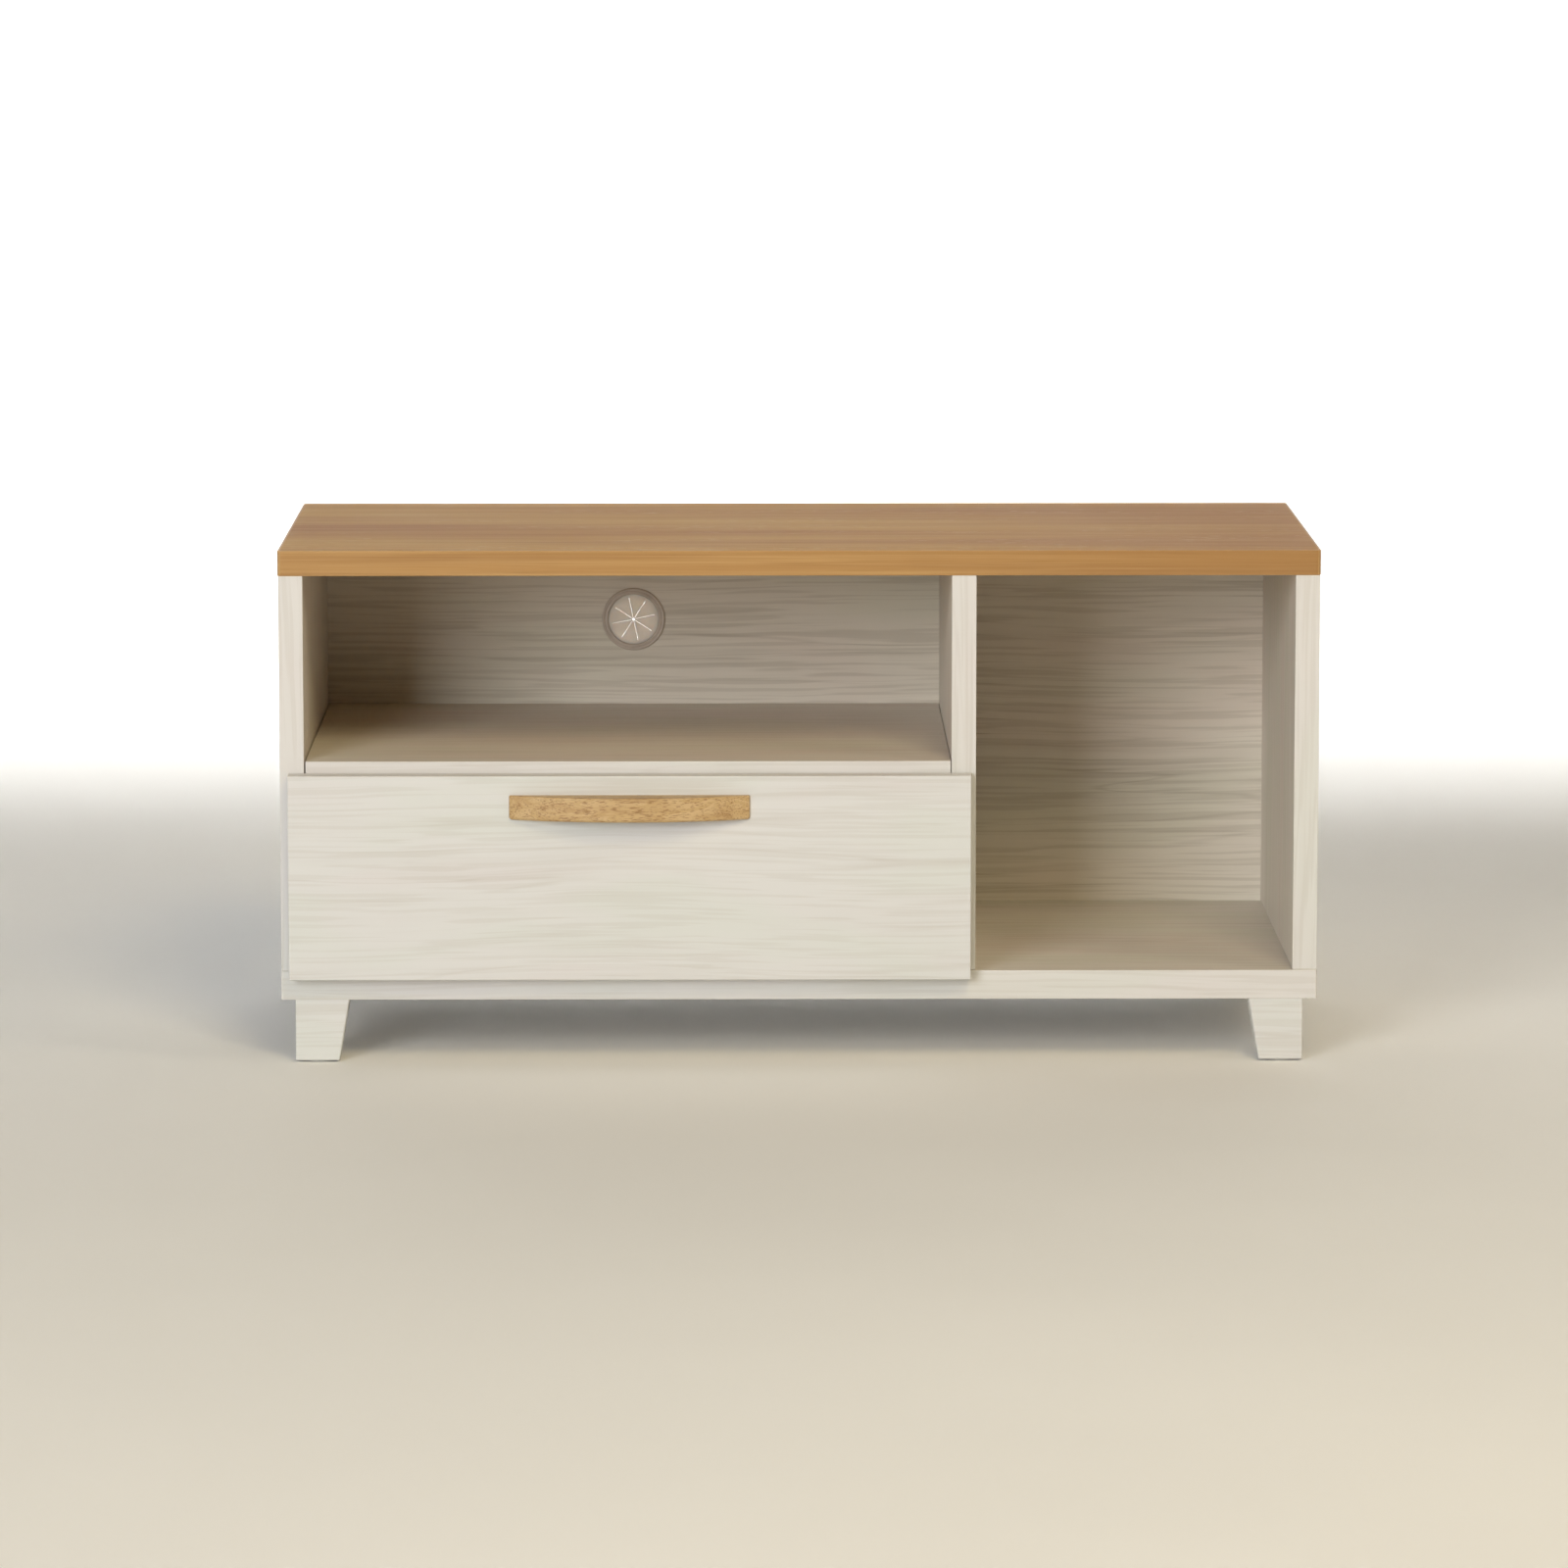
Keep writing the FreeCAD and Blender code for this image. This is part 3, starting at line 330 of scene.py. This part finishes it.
def beech_edge(name, axis, seed, box):
    """Beech-look edge strip: long straight brown streaks, with a painted highlight along its arrises.
    """
    g = Graph(name)
    p = wavering(g, grain_point(g, axis, seed), 3.0, 30.0, 3.0 * MM)
    broad = g.noise(stretched(g, p, 1.8, 70.0), 1.0, 2.0)
    streak = g.noise(stretched(g, p, 3.0, 330.0), 1.0, 3.0, 0.6)
    fine = g.noise(stretched(g, p, 12.0, 1000.0), 1.0, 2.0)
    colour = g.mix(g.span(broad, 0.3, 0.72, 0.0, 0.75), linear(EDGE_BASE), linear(EDGE_DARK))
    colour = g.mix(g.span(streak, 0.4, 0.72, 0.0, 0.6), colour, linear(EDGE_LIGHT))
    colour = g.mix(g.span(fine, 0.5, 0.8, 0.0, 0.35), colour, linear(TOP_PORE))
    colour = g.mix(g.span(g.split(g.position())[0], 0.05, 0.5, 0.0, 0.45), colour,
                   linear(EDGE_DARK))
    ragged = g.noise(g.position(), 70.0, 3.0)
    # Painted highlight: the strip turns paler near its edges, where light catches the rounded
    # arrises.
    arris_highlight = edge_closeness(g, box, 1.1 * MM, ragged)
    colour = g.mix(g.math("MULTIPLY", arris_highlight, 0.3), colour, linear(EDGE_ARRIS_HIGHLIGHT))
    smudge = g.noise(g.position(), 12.0, 2.0)
    roughness = g.math("MULTIPLY_ADD", smudge, 0.14, 0.42)
    normal = g.bump(g.math("ADD", streak, fine), 0.04 * MM)
    return g.surface(colour, roughness, normal, Specular_IOR_Level=0.35)


def beech_solid(name, axis, seed):
    """Solid beech: soft figure with short dark pores lying along the grain."""
    g = Graph(name)
    p = wavering(g, grain_point(g, axis, seed), 14.0, 30.0, 7.0 * MM)
    figure = g.span(g.math("FRACT", g.math("MULTIPLY", g.noise(
        stretched(g, p, 4.0, 60.0), 1.0, 1.5), 12.0)), 0.0, 1.0)
    tone = g.noise(stretched(g, p, 12.0, 90.0), 1.0, 2.0)
    pores = g.noise(stretched(g, p, 130.0, 1300.0), 1.0, 2.0, 0.55)
    pore_zone = g.noise(stretched(g, p, 60.0, 300.0), 1.0, 2.0)
    pore = g.span(g.math("MULTIPLY_ADD", pore_zone, 0.4, pores), 0.72, 0.84)
    colour = g.mix(g.math("MULTIPLY", figure, 0.6), linear(HANDLE_BASE), linear(HANDLE_LIGHT))
    colour = g.mix(g.span(tone, 0.42, 0.72, 0.0, 0.6), colour, linear(HANDLE_DARK))
    colour = g.mix(g.math("MULTIPLY", pore, 0.6), colour, linear(HANDLE_PORE))
    smudge = g.noise(g.position(), 40.0, 2.0)
    roughness = g.math("MULTIPLY_ADD", smudge, 0.12, 0.42)
    height = g.math("MULTIPLY_ADD", pore, -1.0, g.math("MULTIPLY", figure, 0.2))
    return g.surface(colour, roughness, g.bump(height, 0.06 * MM), Specular_IOR_Level=0.35)


# ---- Plastic, metal and thin board ---------------------------------------------------------------
def moulded(name, colour, roughness, relief=0.02 * MM, **constants):
    """Moulded plastic or rubber: a fine spark texture and faint clouding."""
    g = Graph(name)
    spark = g.noise(g.position(), 1800.0, 2.0)
    cloud = g.noise(g.position(), 60.0, 3.0)
    pale = tuple(min(255, c + 10) for c in colour)
    tint = g.mix(g.span(cloud, 0.35, 0.7), linear(colour), linear(pale))
    rough = g.math("MULTIPLY_ADD", cloud, 0.15, roughness - 0.07)
    return g.surface(tint, rough, g.bump(spark, relief), **constants)


def plated_steel(name, colour, roughness):
    """Plated metal: fine brushing, patchy sheen and small dull marks."""
    g = Graph(name)
    brush = g.noise(g.vector_math("MULTIPLY", g.position(), (300.0, 2500.0, 2500.0)), 1.0, 2.0)
    patch = g.noise(g.position(), 220.0, 3.0)
    dull = tuple(c * 0.82 for c in colour)
    tint = g.mix(g.span(patch, 0.4, 0.7), linear(colour), linear(dull))
    rough = g.math("MULTIPLY_ADD", patch, 0.25, roughness - 0.1)
    return g.surface(tint, rough, g.bump(brush, 0.01 * MM), Metallic=1.0)


def enamel(name, colour):
    """Epoxy-coated folded steel: faint orange peel, long rub marks and grease-dulled patches."""
    g = Graph(name)
    peel = g.noise(g.position(), 700.0, 1.0)
    patch = g.noise(g.position(), 45.0, 3.0)
    rub = g.noise(g.vector_math("MULTIPLY", g.position(), (900.0, 9.0, 900.0)), 1.0, 2.0)
    grey = tuple(c * 0.9 for c in colour)
    marks = g.math("ADD", g.span(patch, 0.42, 0.7, 0.0, 0.6), g.span(rub, 0.6, 0.8, 0.0, 0.4))
    tint = g.mix(marks, linear(colour), linear(grey))
    rough = g.math("MULTIPLY_ADD", patch, 0.2, 0.26)
    return g.surface(tint, rough, g.bump(peel, 0.03 * MM), Coat_Weight=0.2)


def fibreboard(name, colour):
    """Thin board with a papery printed face and fine fibres."""
    g = Graph(name)
    p = g.vector_math("MULTIPLY", g.position(), (90.0, 500.0, 500.0))
    fibre = g.noise(p, 1.0, 4.0, 0.6)
    cloud = g.noise(g.position(), 18.0, 3.0)
    dark = tuple(c * 0.93 for c in colour)
    tint = g.mix(g.span(fibre, 0.35, 0.75, 0.0, 0.7), linear(colour), linear(dark))
    tint = g.mix(g.span(cloud, 0.4, 0.7, 0.0, 0.4), tint, linear(dark))
    rough = g.math("MULTIPLY_ADD", fibre, 0.15, 0.55)
    return g.surface(tint, rough, g.bump(fibre, 0.04 * MM), Specular_IOR_Level=0.3)


# ---- Materials on the CAD nodes ------------------------------------------------------------------
def paint(node, material):
    """Every slot of a CAD node takes the material."""
    slots = NODES[node].material_slots
    for slot in slots:
        slot.material = material
    if not slots:
        NODES[node].data.materials.append(material)


RAW_BACKED = ("left_side_panel", "right_side_panel", "divider_panel", "shelf_panel", "base_panel")
GRAIN_NODES = {
    "X": ("shelf_panel", "base_panel", "shelf_edge_band", "base_band_front", "left_back_panel",
          "right_back_panel", "foot_front_left", "foot_front_right", "foot_rear_left",
          "foot_rear_right", "drawer_front", "drawer_box_front", "drawer_box_back"),
    "Y": ("base_band_left", "base_band_right", "drawer_box_left_side", "drawer_box_right_side"),
    "Z": ("left_side_panel", "right_side_panel", "divider_panel", "left_side_edge_band",
          "right_side_edge_band", "divider_edge_band"),
}


def paint_boards():
    """Foil on the white boards, beech on the top and its edge strips, fibreboard in the drawer."""
    seed = 0.0
    for axis, nodes in GRAIN_NODES.items():
        for node in nodes:
            seed += 1.0
            base, contrast = WHITE_FOIL, 1.0
            if "band" in node:
                base = WHITE_EDGE
            # The carcass boards and back panels take creamier base colours: painted warm shade of the
            # bays' insides.
            if node in RAW_BACKED:
                base = PANEL_FOIL_WARM_SHADE
            if "back_panel" in node:
                base, contrast = BACK_FOIL_WARM_SHADE, 2.2
            paint(node, foil(f"foil_{node}", axis, seed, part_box(node), base, contrast,
                             node in RAW_BACKED))
    paint("top_panel", beech_top("beech_top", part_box("top_panel")))
    for i, (side, axis) in enumerate({"front": "X", "left": "Y", "right": "Y"}.items()):
        node = f"top_band_{side}"
        paint(node, beech_edge(f"beech_{side}", axis, 5.0 + i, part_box(node)))
    paint("drawer_bottom", fibreboard("drawer_bottom_board", DRAWER_BOTTOM))


def paint_hardware(steel, cast, cream):
    """The handle, the dowels and the metal parts that keep their CAD shape."""
    paint("drawer_handle", beech_solid("beech_handle", "X", 2.0))
    for node in ("foot_bolts", "front_roller_pins", "rear_roller_pins", "shelf_cam_bolts"):
        paint(node, steel)
    paint("shelf_cams", cast)
    for side in ("left", "right"):
        paint(f"cabinet_runner_{side}", cream)
        paint(f"drawer_runner_{side}", cream)
    paint("foot_bolt_inserts", plated_steel("insert_brass", BRASS, 0.35))
    dowel = beech_solid("beech_dowel", "X", 8.0)
    paint("carcass_dowels", dowel)
    paint("foot_dowels", dowel)


# ---- Turned and shaped pieces --------------------------------------------------------------------
def rounded(corners, steps=4):
    """A profile from (radius, height, fillet) corners, with each fillet as an arc."""
    points = [Vector(c[:2]) for c in corners]
    out = []
    for i, (corner, spec) in enumerate(zip(points, corners)):
        fillet = spec[2]
        if not fillet:
            out.append(corner)
            continue
        before = (points[i - 1] - corner).normalized()
        after = (points[(i + 1) % len(points)] - corner).normalized()
        half = before.angle(after) / 2
        reach = fillet / math.tan(half)
        centre = corner + (before + after).normalized() * (fillet / math.sin(half))
        start = (corner + before * reach - centre).normalized()
        end = (corner + after * reach - centre).normalized()
        for k in range(steps + 1):
            out.append(centre + start.slerp(end, k / steps) * fillet)
    return out


def lathe(mesh, profile, place, axis, closed=True, steps=64):
    """Adds the profile of (radius, height) points turned round an axis through the place."""
    turn = Vector((0, 0, 1)).rotation_difference(axis)
    rings = []
    for i in range(steps):
        a = 2 * math.pi * i / steps
        rings.append([mesh.verts.new(place + turn @ Vector((r * math.cos(a), r * math.sin(a), h)))
                      for r, h in profile])
    last = len(profile) if closed else len(profile) - 1
    for ring, after in zip(rings, rings[1:] + rings[:1]):
        for j in range(last):
            k = (j + 1) % len(profile)
            mesh.faces.new((ring[j], ring[k], after[k], after[j]))


def as_piece(mesh, name, body, node, material, sharp=35.0):
    """Turns the mesh into a smooth-shaded piece that rides the body and stands for the node."""
    bmesh.ops.remove_doubles(mesh, verts=mesh.verts, dist=SAME_PLACE)
    bmesh.ops.dissolve_degenerate(mesh, edges=mesh.edges, dist=SAME_PLACE)
    bmesh.ops.recalc_face_normals(mesh, faces=mesh.faces)
    data = bpy.data.meshes.new(name)
    mesh.to_mesh(data)
    mesh.free()
    data.polygons.foreach_set("use_smooth", [True] * len(data.polygons))
    data.set_sharp_from_angle(angle=math.radians(sharp))
    data.materials.append(material)
    piece = bpy.data.objects.new(name, data)
    bpy.context.scene.collection.objects.link(piece)
    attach(piece, body)
    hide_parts(node)
    return piece


def solids(node):
    """The lowest and highest corner of each separate solid in a CAD node, in a fixed order."""
    mesh = bmesh.new()
    mesh.from_mesh(NODES[node].data)
    bmesh.ops.remove_doubles(mesh, verts=mesh.verts, dist=SAME_PLACE)
    boxes, seen = [], set()
    for vertex in mesh.verts:
        if vertex in seen:
            continue
        seen.add(vertex)
        queue, points = [vertex], []
        while queue:
            v = queue.pop()
            points.append(v.co.copy())
            for edge in v.link_edges:
                other = edge.other_vert(v)
                if other not in seen:
                    seen.add(other)
                    queue.append(other)
        boxes.append(tuple(Vector([pick(p[i] for p in points) for i in range(3)])
                           for pick in (min, max)))
    mesh.free()
    return sorted(boxes, key=lambda box: tuple(round(c, 5) for c in box[0]))


GROMMET_FLANGE = 2.2 * MM
GROMMET_RIM = 1.0 * MM
GROMMET_GROOVE = 0.35 * MM


def grommet_ring(material):
    """A turned ring: a rounded flange with a shallow groove, a sleeve and a snap lip behind."""
    low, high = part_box("cable_grommet_ring")
    membrane_low, membrane_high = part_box("cable_grommet_membrane")
    centre = (low + high) / 2
    flange = (high.x - low.x) / 2
    bore = (membrane_high.x - membrane_low.x) / 2
    length = high.y - low.y
    sleeve = flange - 3.7 * MM
    snap = flange - 2.6 * MM
    seat = bore - 1.3 * MM
    seat_depth = membrane_high.y - low.y
    groove = (flange + bore) / 2 + 0.4 * MM
    profile = rounded([
        (bore, 0.9 * MM, 0.5 * MM), (bore + 0.7 * MM, 0.0, 0.5 * MM),
        (groove - 0.5 * MM, 0.0, 0.0), (groove, GROMMET_GROOVE, 0.0),
        (groove + 0.5 * MM, 0.0, 0.0), (flange, 0.0, GROMMET_RIM),
        (flange, GROMMET_FLANGE, 0.15 * MM), (sleeve, GROMMET_FLANGE, 0.0),
        (sleeve, length - 2.3 * MM, 0.0), (snap, length - 2.3 * MM, 0.2 * MM),
        (sleeve, length, 0.3 * MM), (seat, length, 0.3 * MM),
        (seat, seat_depth, 0.1 * MM), (bore, seat_depth, 0.0),
    ])
    mesh = bmesh.new()
    lathe(mesh, profile, Vector((centre.x, low.y, centre.z)), Vector((0, 1, 0)), steps=128)
    return as_piece(mesh, "grommet_ring_turned", "carcass", "cable_grommet_ring",
                    material, sharp=50.0)


SLITS = 8
SLIT_TURN = 12.0            # degrees from the horizontal to the first slit
SLIT_HALF_WIDTH = 0.10 * MM
SLIT_MARGIN = 3.0 * MM      # uncut rim outside the slits
PETAL_CURL = 0.55 * MM      # how far the petals' tips lift to the front


def petal(mesh, centre, reach, start, end, thickness, lift):
    """Adds one petal between two slit angles; its tip lifts towards the front."""
    along, around = 12, 8
    inner = 0.9 * MM
    sheets = []
    for side in (-0.5, 0.5):
        rows = []
        for i in range(along + 1):
            r = inner + (reach - inner) * i / along
            gap = math.asin(SLIT_HALF_WIDTH / r)
            out = lift * (1 - i / along) ** 2
            row = []
            for j in range(around + 1):
                t = j / around
                a = start + gap + (end - start - 2 * gap) * t
                edge = 1.0 - 0.25 * abs(2 * t - 1) ** 6
                y = centre.y - out + side * thickness * edge
                row.append(mesh.verts.new((centre.x + r * math.cos(a), y,
                                           centre.z + r * math.sin(a))))
            rows.append(row)
        sheets.append(rows)
    for rows in sheets:
        for i in range(along):
            for j in range(around):
                mesh.faces.new((rows[i][j], rows[i + 1][j], rows[i + 1][j + 1], rows[i][j + 1]))
    front, back = sheets
    for i in range(along):
        for j in (0, around):
            mesh.faces.new((front[i][j], front[i + 1][j], back[i + 1][j], back[i][j]))
    for j in range(around):
        for i in (0, along):
            mesh.faces.new((front[i][j], front[i][j + 1], back[i][j + 1], back[i][j]))


def grommet_membrane(material):
    """A soft disc cut into petals that meet at its middle, inside an uncut rim."""
    low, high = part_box("cable_grommet_membrane")
    centre = (low + high) / 2
    radius = (high.x - low.x) / 2
    thickness = high.y - low.y
    reach = radius - SLIT_MARGIN
    mesh = bmesh.new()
    half = thickness / 2
    rim = rounded([(reach - 0.05 * MM, -half, 0.0), (radius, -half, 0.1 * MM),
                   (radius, half, 0.1 * MM), (reach - 0.05 * MM, half, 0.0)])
    lathe(mesh, rim, centre, Vector((0, 1, 0)), steps=96)
    for i in range(SLITS):
        start = math.radians(SLIT_TURN) + 2 * math.pi * i / SLITS
        lift = PETAL_CURL * (0.55 + 0.45 * math.sin(2.3 * i + 0.6))
        petal(mesh, centre, reach, start, start + 2 * math.pi / SLITS, thickness * 0.8, lift)
    return as_piece(mesh, "grommet_membrane_slit", "carcass", "cable_grommet_membrane",
                    material)


def foot_glides(material):
    """Four low discs with a rounded tread."""
    mesh = bmesh.new()
    for low, high in solids("foot_glides"):
        centre = (low + high) / 2
        radius, height = (high.x - low.x) / 2, high.z - low.z
        profile = rounded([(0.0, 0.0, 0.0), (radius - 0.8 * MM, 0.0, 0.5 * MM),
                           (radius, 0.5 * MM, 0.3 * MM), (radius, height, 0.0),
                           (0.0, height, 0.0)])
        lathe(mesh, profile, Vector((centre.x, centre.y, low.z)), Vector((0, 0, 1)), closed=False)
    return as_piece(mesh, "foot_glides_turned", "carcass", "foot_glides", material)


PIN_RADIUS = 2.05 * MM
HUB_RADIUS = 4.2 * MM
RIM_WALL = 2.2 * MM
WEB_RECESS = 0.7 * MM


def roller(node, material):
    """A moulded roller: rounded tread, recessed web and a proud hub round the pin."""
    low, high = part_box(node)
    centre = (low + high) / 2
    width, radius = high.x - low.x, (high.z - low.z) / 2
    half = [(PIN_RADIUS, 0.0, 0.0), (HUB_RADIUS, 0.0, 0.2 * MM),
            (HUB_RADIUS + 0.2 * MM, WEB_RECESS, 0.1 * MM),
            (radius - RIM_WALL, WEB_RECESS, 0.1 * MM), (radius - RIM_WALL + 0.2 * MM, 0.0, 0.15 * MM),
            (radius, 0.0, 0.6 * MM)]
    other = [(r, width - h, fillet) for r, h, fillet in reversed(half)]
    mesh = bmesh.new()
    lathe(mesh, rounded(half + other), Vector((low.x, centre.y, centre.z)), Vector((1, 0, 0)))
    return as_piece(mesh, f"{node}_turned", f"{node}_body", node, material)


# ---- Screws with a cross recess ------------------------------------------------------------------
def cross_outline(arm, half_width):
    """The twelve corners of a plus sign, anticlockwise."""
    corners = []
    for i in range(4):
        a = math.pi / 2 * i
        for x, y in ((half_width, -half_width), (arm, -half_width), (arm, half_width)):
            corners.append((x * math.cos(a) - y * math.sin(a), x * math.sin(a) + y * math.cos(a)))
    return corners


def cross_screw(mesh, place, axis, length, head, head_height, shank, countersunk):
    """Adds a screw; the place is the middle of its head's outer face, and axis points inwards."""
    turn = Vector((0, 0, 1)).rotation_difference(axis)

    def vert(x, y, z):
        return mesh.verts.new(place + turn @ Vector((x, y, z)))

    radius, steps = head / 2, 32
    flat = radius * (0.86 if countersunk else 0.6)
    recess = head_height * (0.8 if countersunk else 0.7)
    if countersunk:
        side = [(flat, 0.0), (radius * 0.97, 0.02 * head_height), (radius, 0.1 * head_height),
                (shank / 2, head_height)]
    else:
        side = [(flat, 0.0)] + [
            (flat + (radius - flat) * math.sin(a), head_height * 0.75 * (1 - math.cos(a)))
            for a in (math.pi / 8, math.pi / 4, 3 * math.pi / 8, math.pi / 2)]
        side += [(radius, head_height), (shank / 2, head_height)]
    tip = shank * 0.9
    side += [(shank / 2, length - tip), (0.0, length)]
    lathe(mesh, side, place, axis, closed=False, steps=steps)

    rim = [vert(flat * math.cos(a), flat * math.sin(a), 0.0)
           for a in (2 * math.pi * i / steps for i in range(steps))]
    wide = [vert(x, y, 0.0) for x, y in cross_outline(radius * 0.52, radius * 0.13)]
    deep = [vert(x, y, recess) for x, y in cross_outline(radius * 0.34, radius * 0.1)]
    edges = [mesh.edges.new((a, b)) for loop in (rim, wide)
             for a, b in zip(loop, loop[1:] + loop[:1])]
    bmesh.ops.triangle_fill(mesh, edges=edges, use_beauty=True)
    for i in range(len(wide)):
        k = (i + 1) % len(wide)
        mesh.faces.new((wide[i], wide[k], deep[k], deep[i]))
    mesh.faces.new(deep)


SCREWS = {  # node: (body, axis the screws lie along, head height, shank, countersunk)
    "base_screws": ("carcass", 2, 3.0, 6.8, True),
    "cabinet_runner_screws": ("carcass", 0, 1.5, 3.4, True),
    "drawer_runner_screws": ("drawer", 0, 1.5, 3.4, False),
    "drawer_box_screws": ("drawer", 0, 2.0, 3.6, True),
    "drawer_front_screws": ("drawer", 1, 2.0, 3.6, False),
    "handle_screws": ("drawer", 1, 2.4, 4.0, False),
}


def screw_heading(node, axis, middle):
    """The way a screw points: into the wood, away from its head."""
    inwards = Vector((0, 0, 0))
    if axis == 0:
        low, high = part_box(node)
        towards_middle = 1 if middle.x < low.x + 0.5 * (high.x - low.x) else -1
        inwards.x = -towards_middle if node == "cabinet_runner_screws" else towards_middle
    elif axis == 1:
        inwards.y = -1
    else:
        inwards.z = 1
    return inwards


def screws(node, material):
    """One cross-headed screw for each solid of a CAD screw node."""
    body, axis, head_height, shank, countersunk = SCREWS[node]
    mesh = bmesh.new()
    for low, high in solids(node):
        middle = (low + high) / 2
        inwards = screw_heading(node, axis, middle)
        length = high[axis] - low[axis]
        across = (axis + 1) % 3
        place = middle - inwards * (length / 2)
        cross_screw(mesh, place, inwards, length, high[across] - low[across],
                    head_height * MM, shank * MM, countersunk)
    return as_piece(mesh, f"{node}_cross_head", body, node, material)


def detailed_pieces(steel):
    """The pieces that stand for a CAD node with more detail than it has."""
    plastic = moulded("grommet_plastic", GROMMET, 0.42)
    rubber = moulded("membrane_rubber", MEMBRANE, 0.55, Subsurface_Weight=0.15)
    nylon = moulded("roller_nylon", ROLLER_NYLON, 0.35, Subsurface_Weight=0.1)
    grommet_ring(plastic)
    grommet_membrane(rubber)
    foot_glides(moulded("glide_plastic", GLIDE_PLASTIC, 0.6))
    for end in ("front", "rear"):
        for side in ("left", "right"):
            roller(f"{end}_roller_{side}", nylon)
    for node in SCREWS:
        screws(node, steel)


# ---- Floor, light and camera ---------------------------------------------------------------------
def backdrop():
    """A pale floor that sweeps up behind the object, so it hides the stand from far behind."""
    half, front, back, radius, top = 9.0, -9.0, 2.6, 1.6, 6.0
    profile = [(front, 0.0), (back, 0.0)]
    steps = 24
    for i in range(1, steps + 1):
        a = math.pi / 2 * i / steps
        profile.append((back + radius * math.sin(a), radius * (1 - math.cos(a))))
    profile.append((back + radius, top))
    mesh = bpy.data.meshes.new("floor")
    verts = [(side * half, y, z) for y, z in profile for side in (-1, 1)]
    faces = [(2 * i, 2 * i + 1, 2 * i + 3, 2 * i + 2) for i in range(len(profile) - 1)]
    mesh.from_pydata(verts, [], faces)
    mesh.polygons.foreach_set("use_smooth", [True] * len(faces))
    floor = bpy.data.objects.new("floor", mesh)
    bpy.context.scene.collection.objects.link(floor)
    g = Graph("pale_floor")
    cloud = g.noise(g.position(), 1.5, 3.0)
    colour = g.mix(g.span(cloud, 0.3, 0.7), linear(FLOOR_DARKER), linear(FLOOR_PALER))
    mesh.materials.append(g.surface(colour, 0.9, Specular_IOR_Level=0.05))


def area_light(name, place, target, size, power, colour, spread=180.0):
    light = bpy.data.lights.new(name, "AREA")
    light.shape = "RECTANGLE"
    light.size, light.size_y = size
    light.energy = power
    light.color = colour
    light.spread = math.radians(spread)
    lamp = bpy.data.objects.new(name, light)
    bpy.context.scene.collection.objects.link(lamp)
    lamp.location = place
    lamp.rotation_euler = (Vector(target) - Vector(place)).to_track_quat("-Z", "Y").to_euler()


def around(target, azimuth, elevation, distance):
    """The point at that distance from the target: azimuth 0 is in front, and grows to the right."""
    a, e = math.radians(azimuth), math.radians(elevation)
    away = Vector((math.sin(a) * math.cos(e), -math.cos(a) * math.cos(e), math.sin(e)))
    return Vector(target) + away * distance


def studio():
    """A low softbox from the front left, warm lamps in front and at the right, a cool ceiling
    and a lit backdrop."""
    target = (0.0, 0.0, 0.25)
    area_light("key", around(target, -23.5, 14.0, 8.0), target, (2.8, 3.3), 335.0,
               (0.98, 0.985, 0.98))
    area_light("fill", around(target, 14.0, 40.0, 5.0), target, (1.4, 1.4), 70.0,
               (1.0, 0.82, 0.50))
    area_light("side", around(target, 60.0, 36.0, 4.0), target, (1.0, 1.0), 20.0,
               (1.0, 0.86, 0.66))
    area_light("ceiling", (0.0, 0.0, 3.2), target, (3.0, 2.4), 6.0, (0.8, 0.93, 1.0))
    area_light("backdrop_wash", (0.0, 1.6, 3.4), (0.0, 4.0, 0.7), (6.0, 0.6), 150.0,
               (1.0, 1.0, 1.0), spread=100.0)
    world = bpy.data.worlds.new("studio")
    bpy.context.scene.world = world
    world.use_nodes = True
    background = world.node_tree.nodes["Background"]
    background.inputs["Color"].default_value = (1.0, 0.95, 0.88, 1.0)
    background.inputs["Strength"].default_value = 0.08
    bpy.context.scene.view_settings.view_transform = "Standard"


FRONT_STRIP = 2.0 * MM      # edge strip in front of the top panel


def camera():
    """A long lens a little above the stand and left of its middle, looking slightly down."""
    front_edge_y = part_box("top_panel")[0].y - FRONT_STRIP
    distance, left, height = 6.22, 0.0572, 1.1244
    pitch_down, yaw_right, roll = 0.1408, 0.0071, 0.0002
    data = bpy.data.cameras.new("camera")
    data.lens = 167.62
    data.sensor_width = 36.0
    data.clip_start, data.clip_end = 0.05, 60.0
    eye = bpy.data.objects.new("camera", data)
    bpy.context.scene.collection.objects.link(eye)
    eye.location = (-left, front_edge_y - distance, height)
    eye.rotation_euler = (math.pi / 2 - pitch_down, roll, -yaw_right)
    bpy.context.scene.camera = eye


zinc = plated_steel("zinc_steel", ZINC, 0.34)
paint_boards()
paint_hardware(zinc, plated_steel("zinc_casting", ZINC_CASTING, 0.5),
               enamel("runner_enamel", RUNNER_ENAMEL))
detailed_pieces(zinc)
backdrop()
studio()
camera()
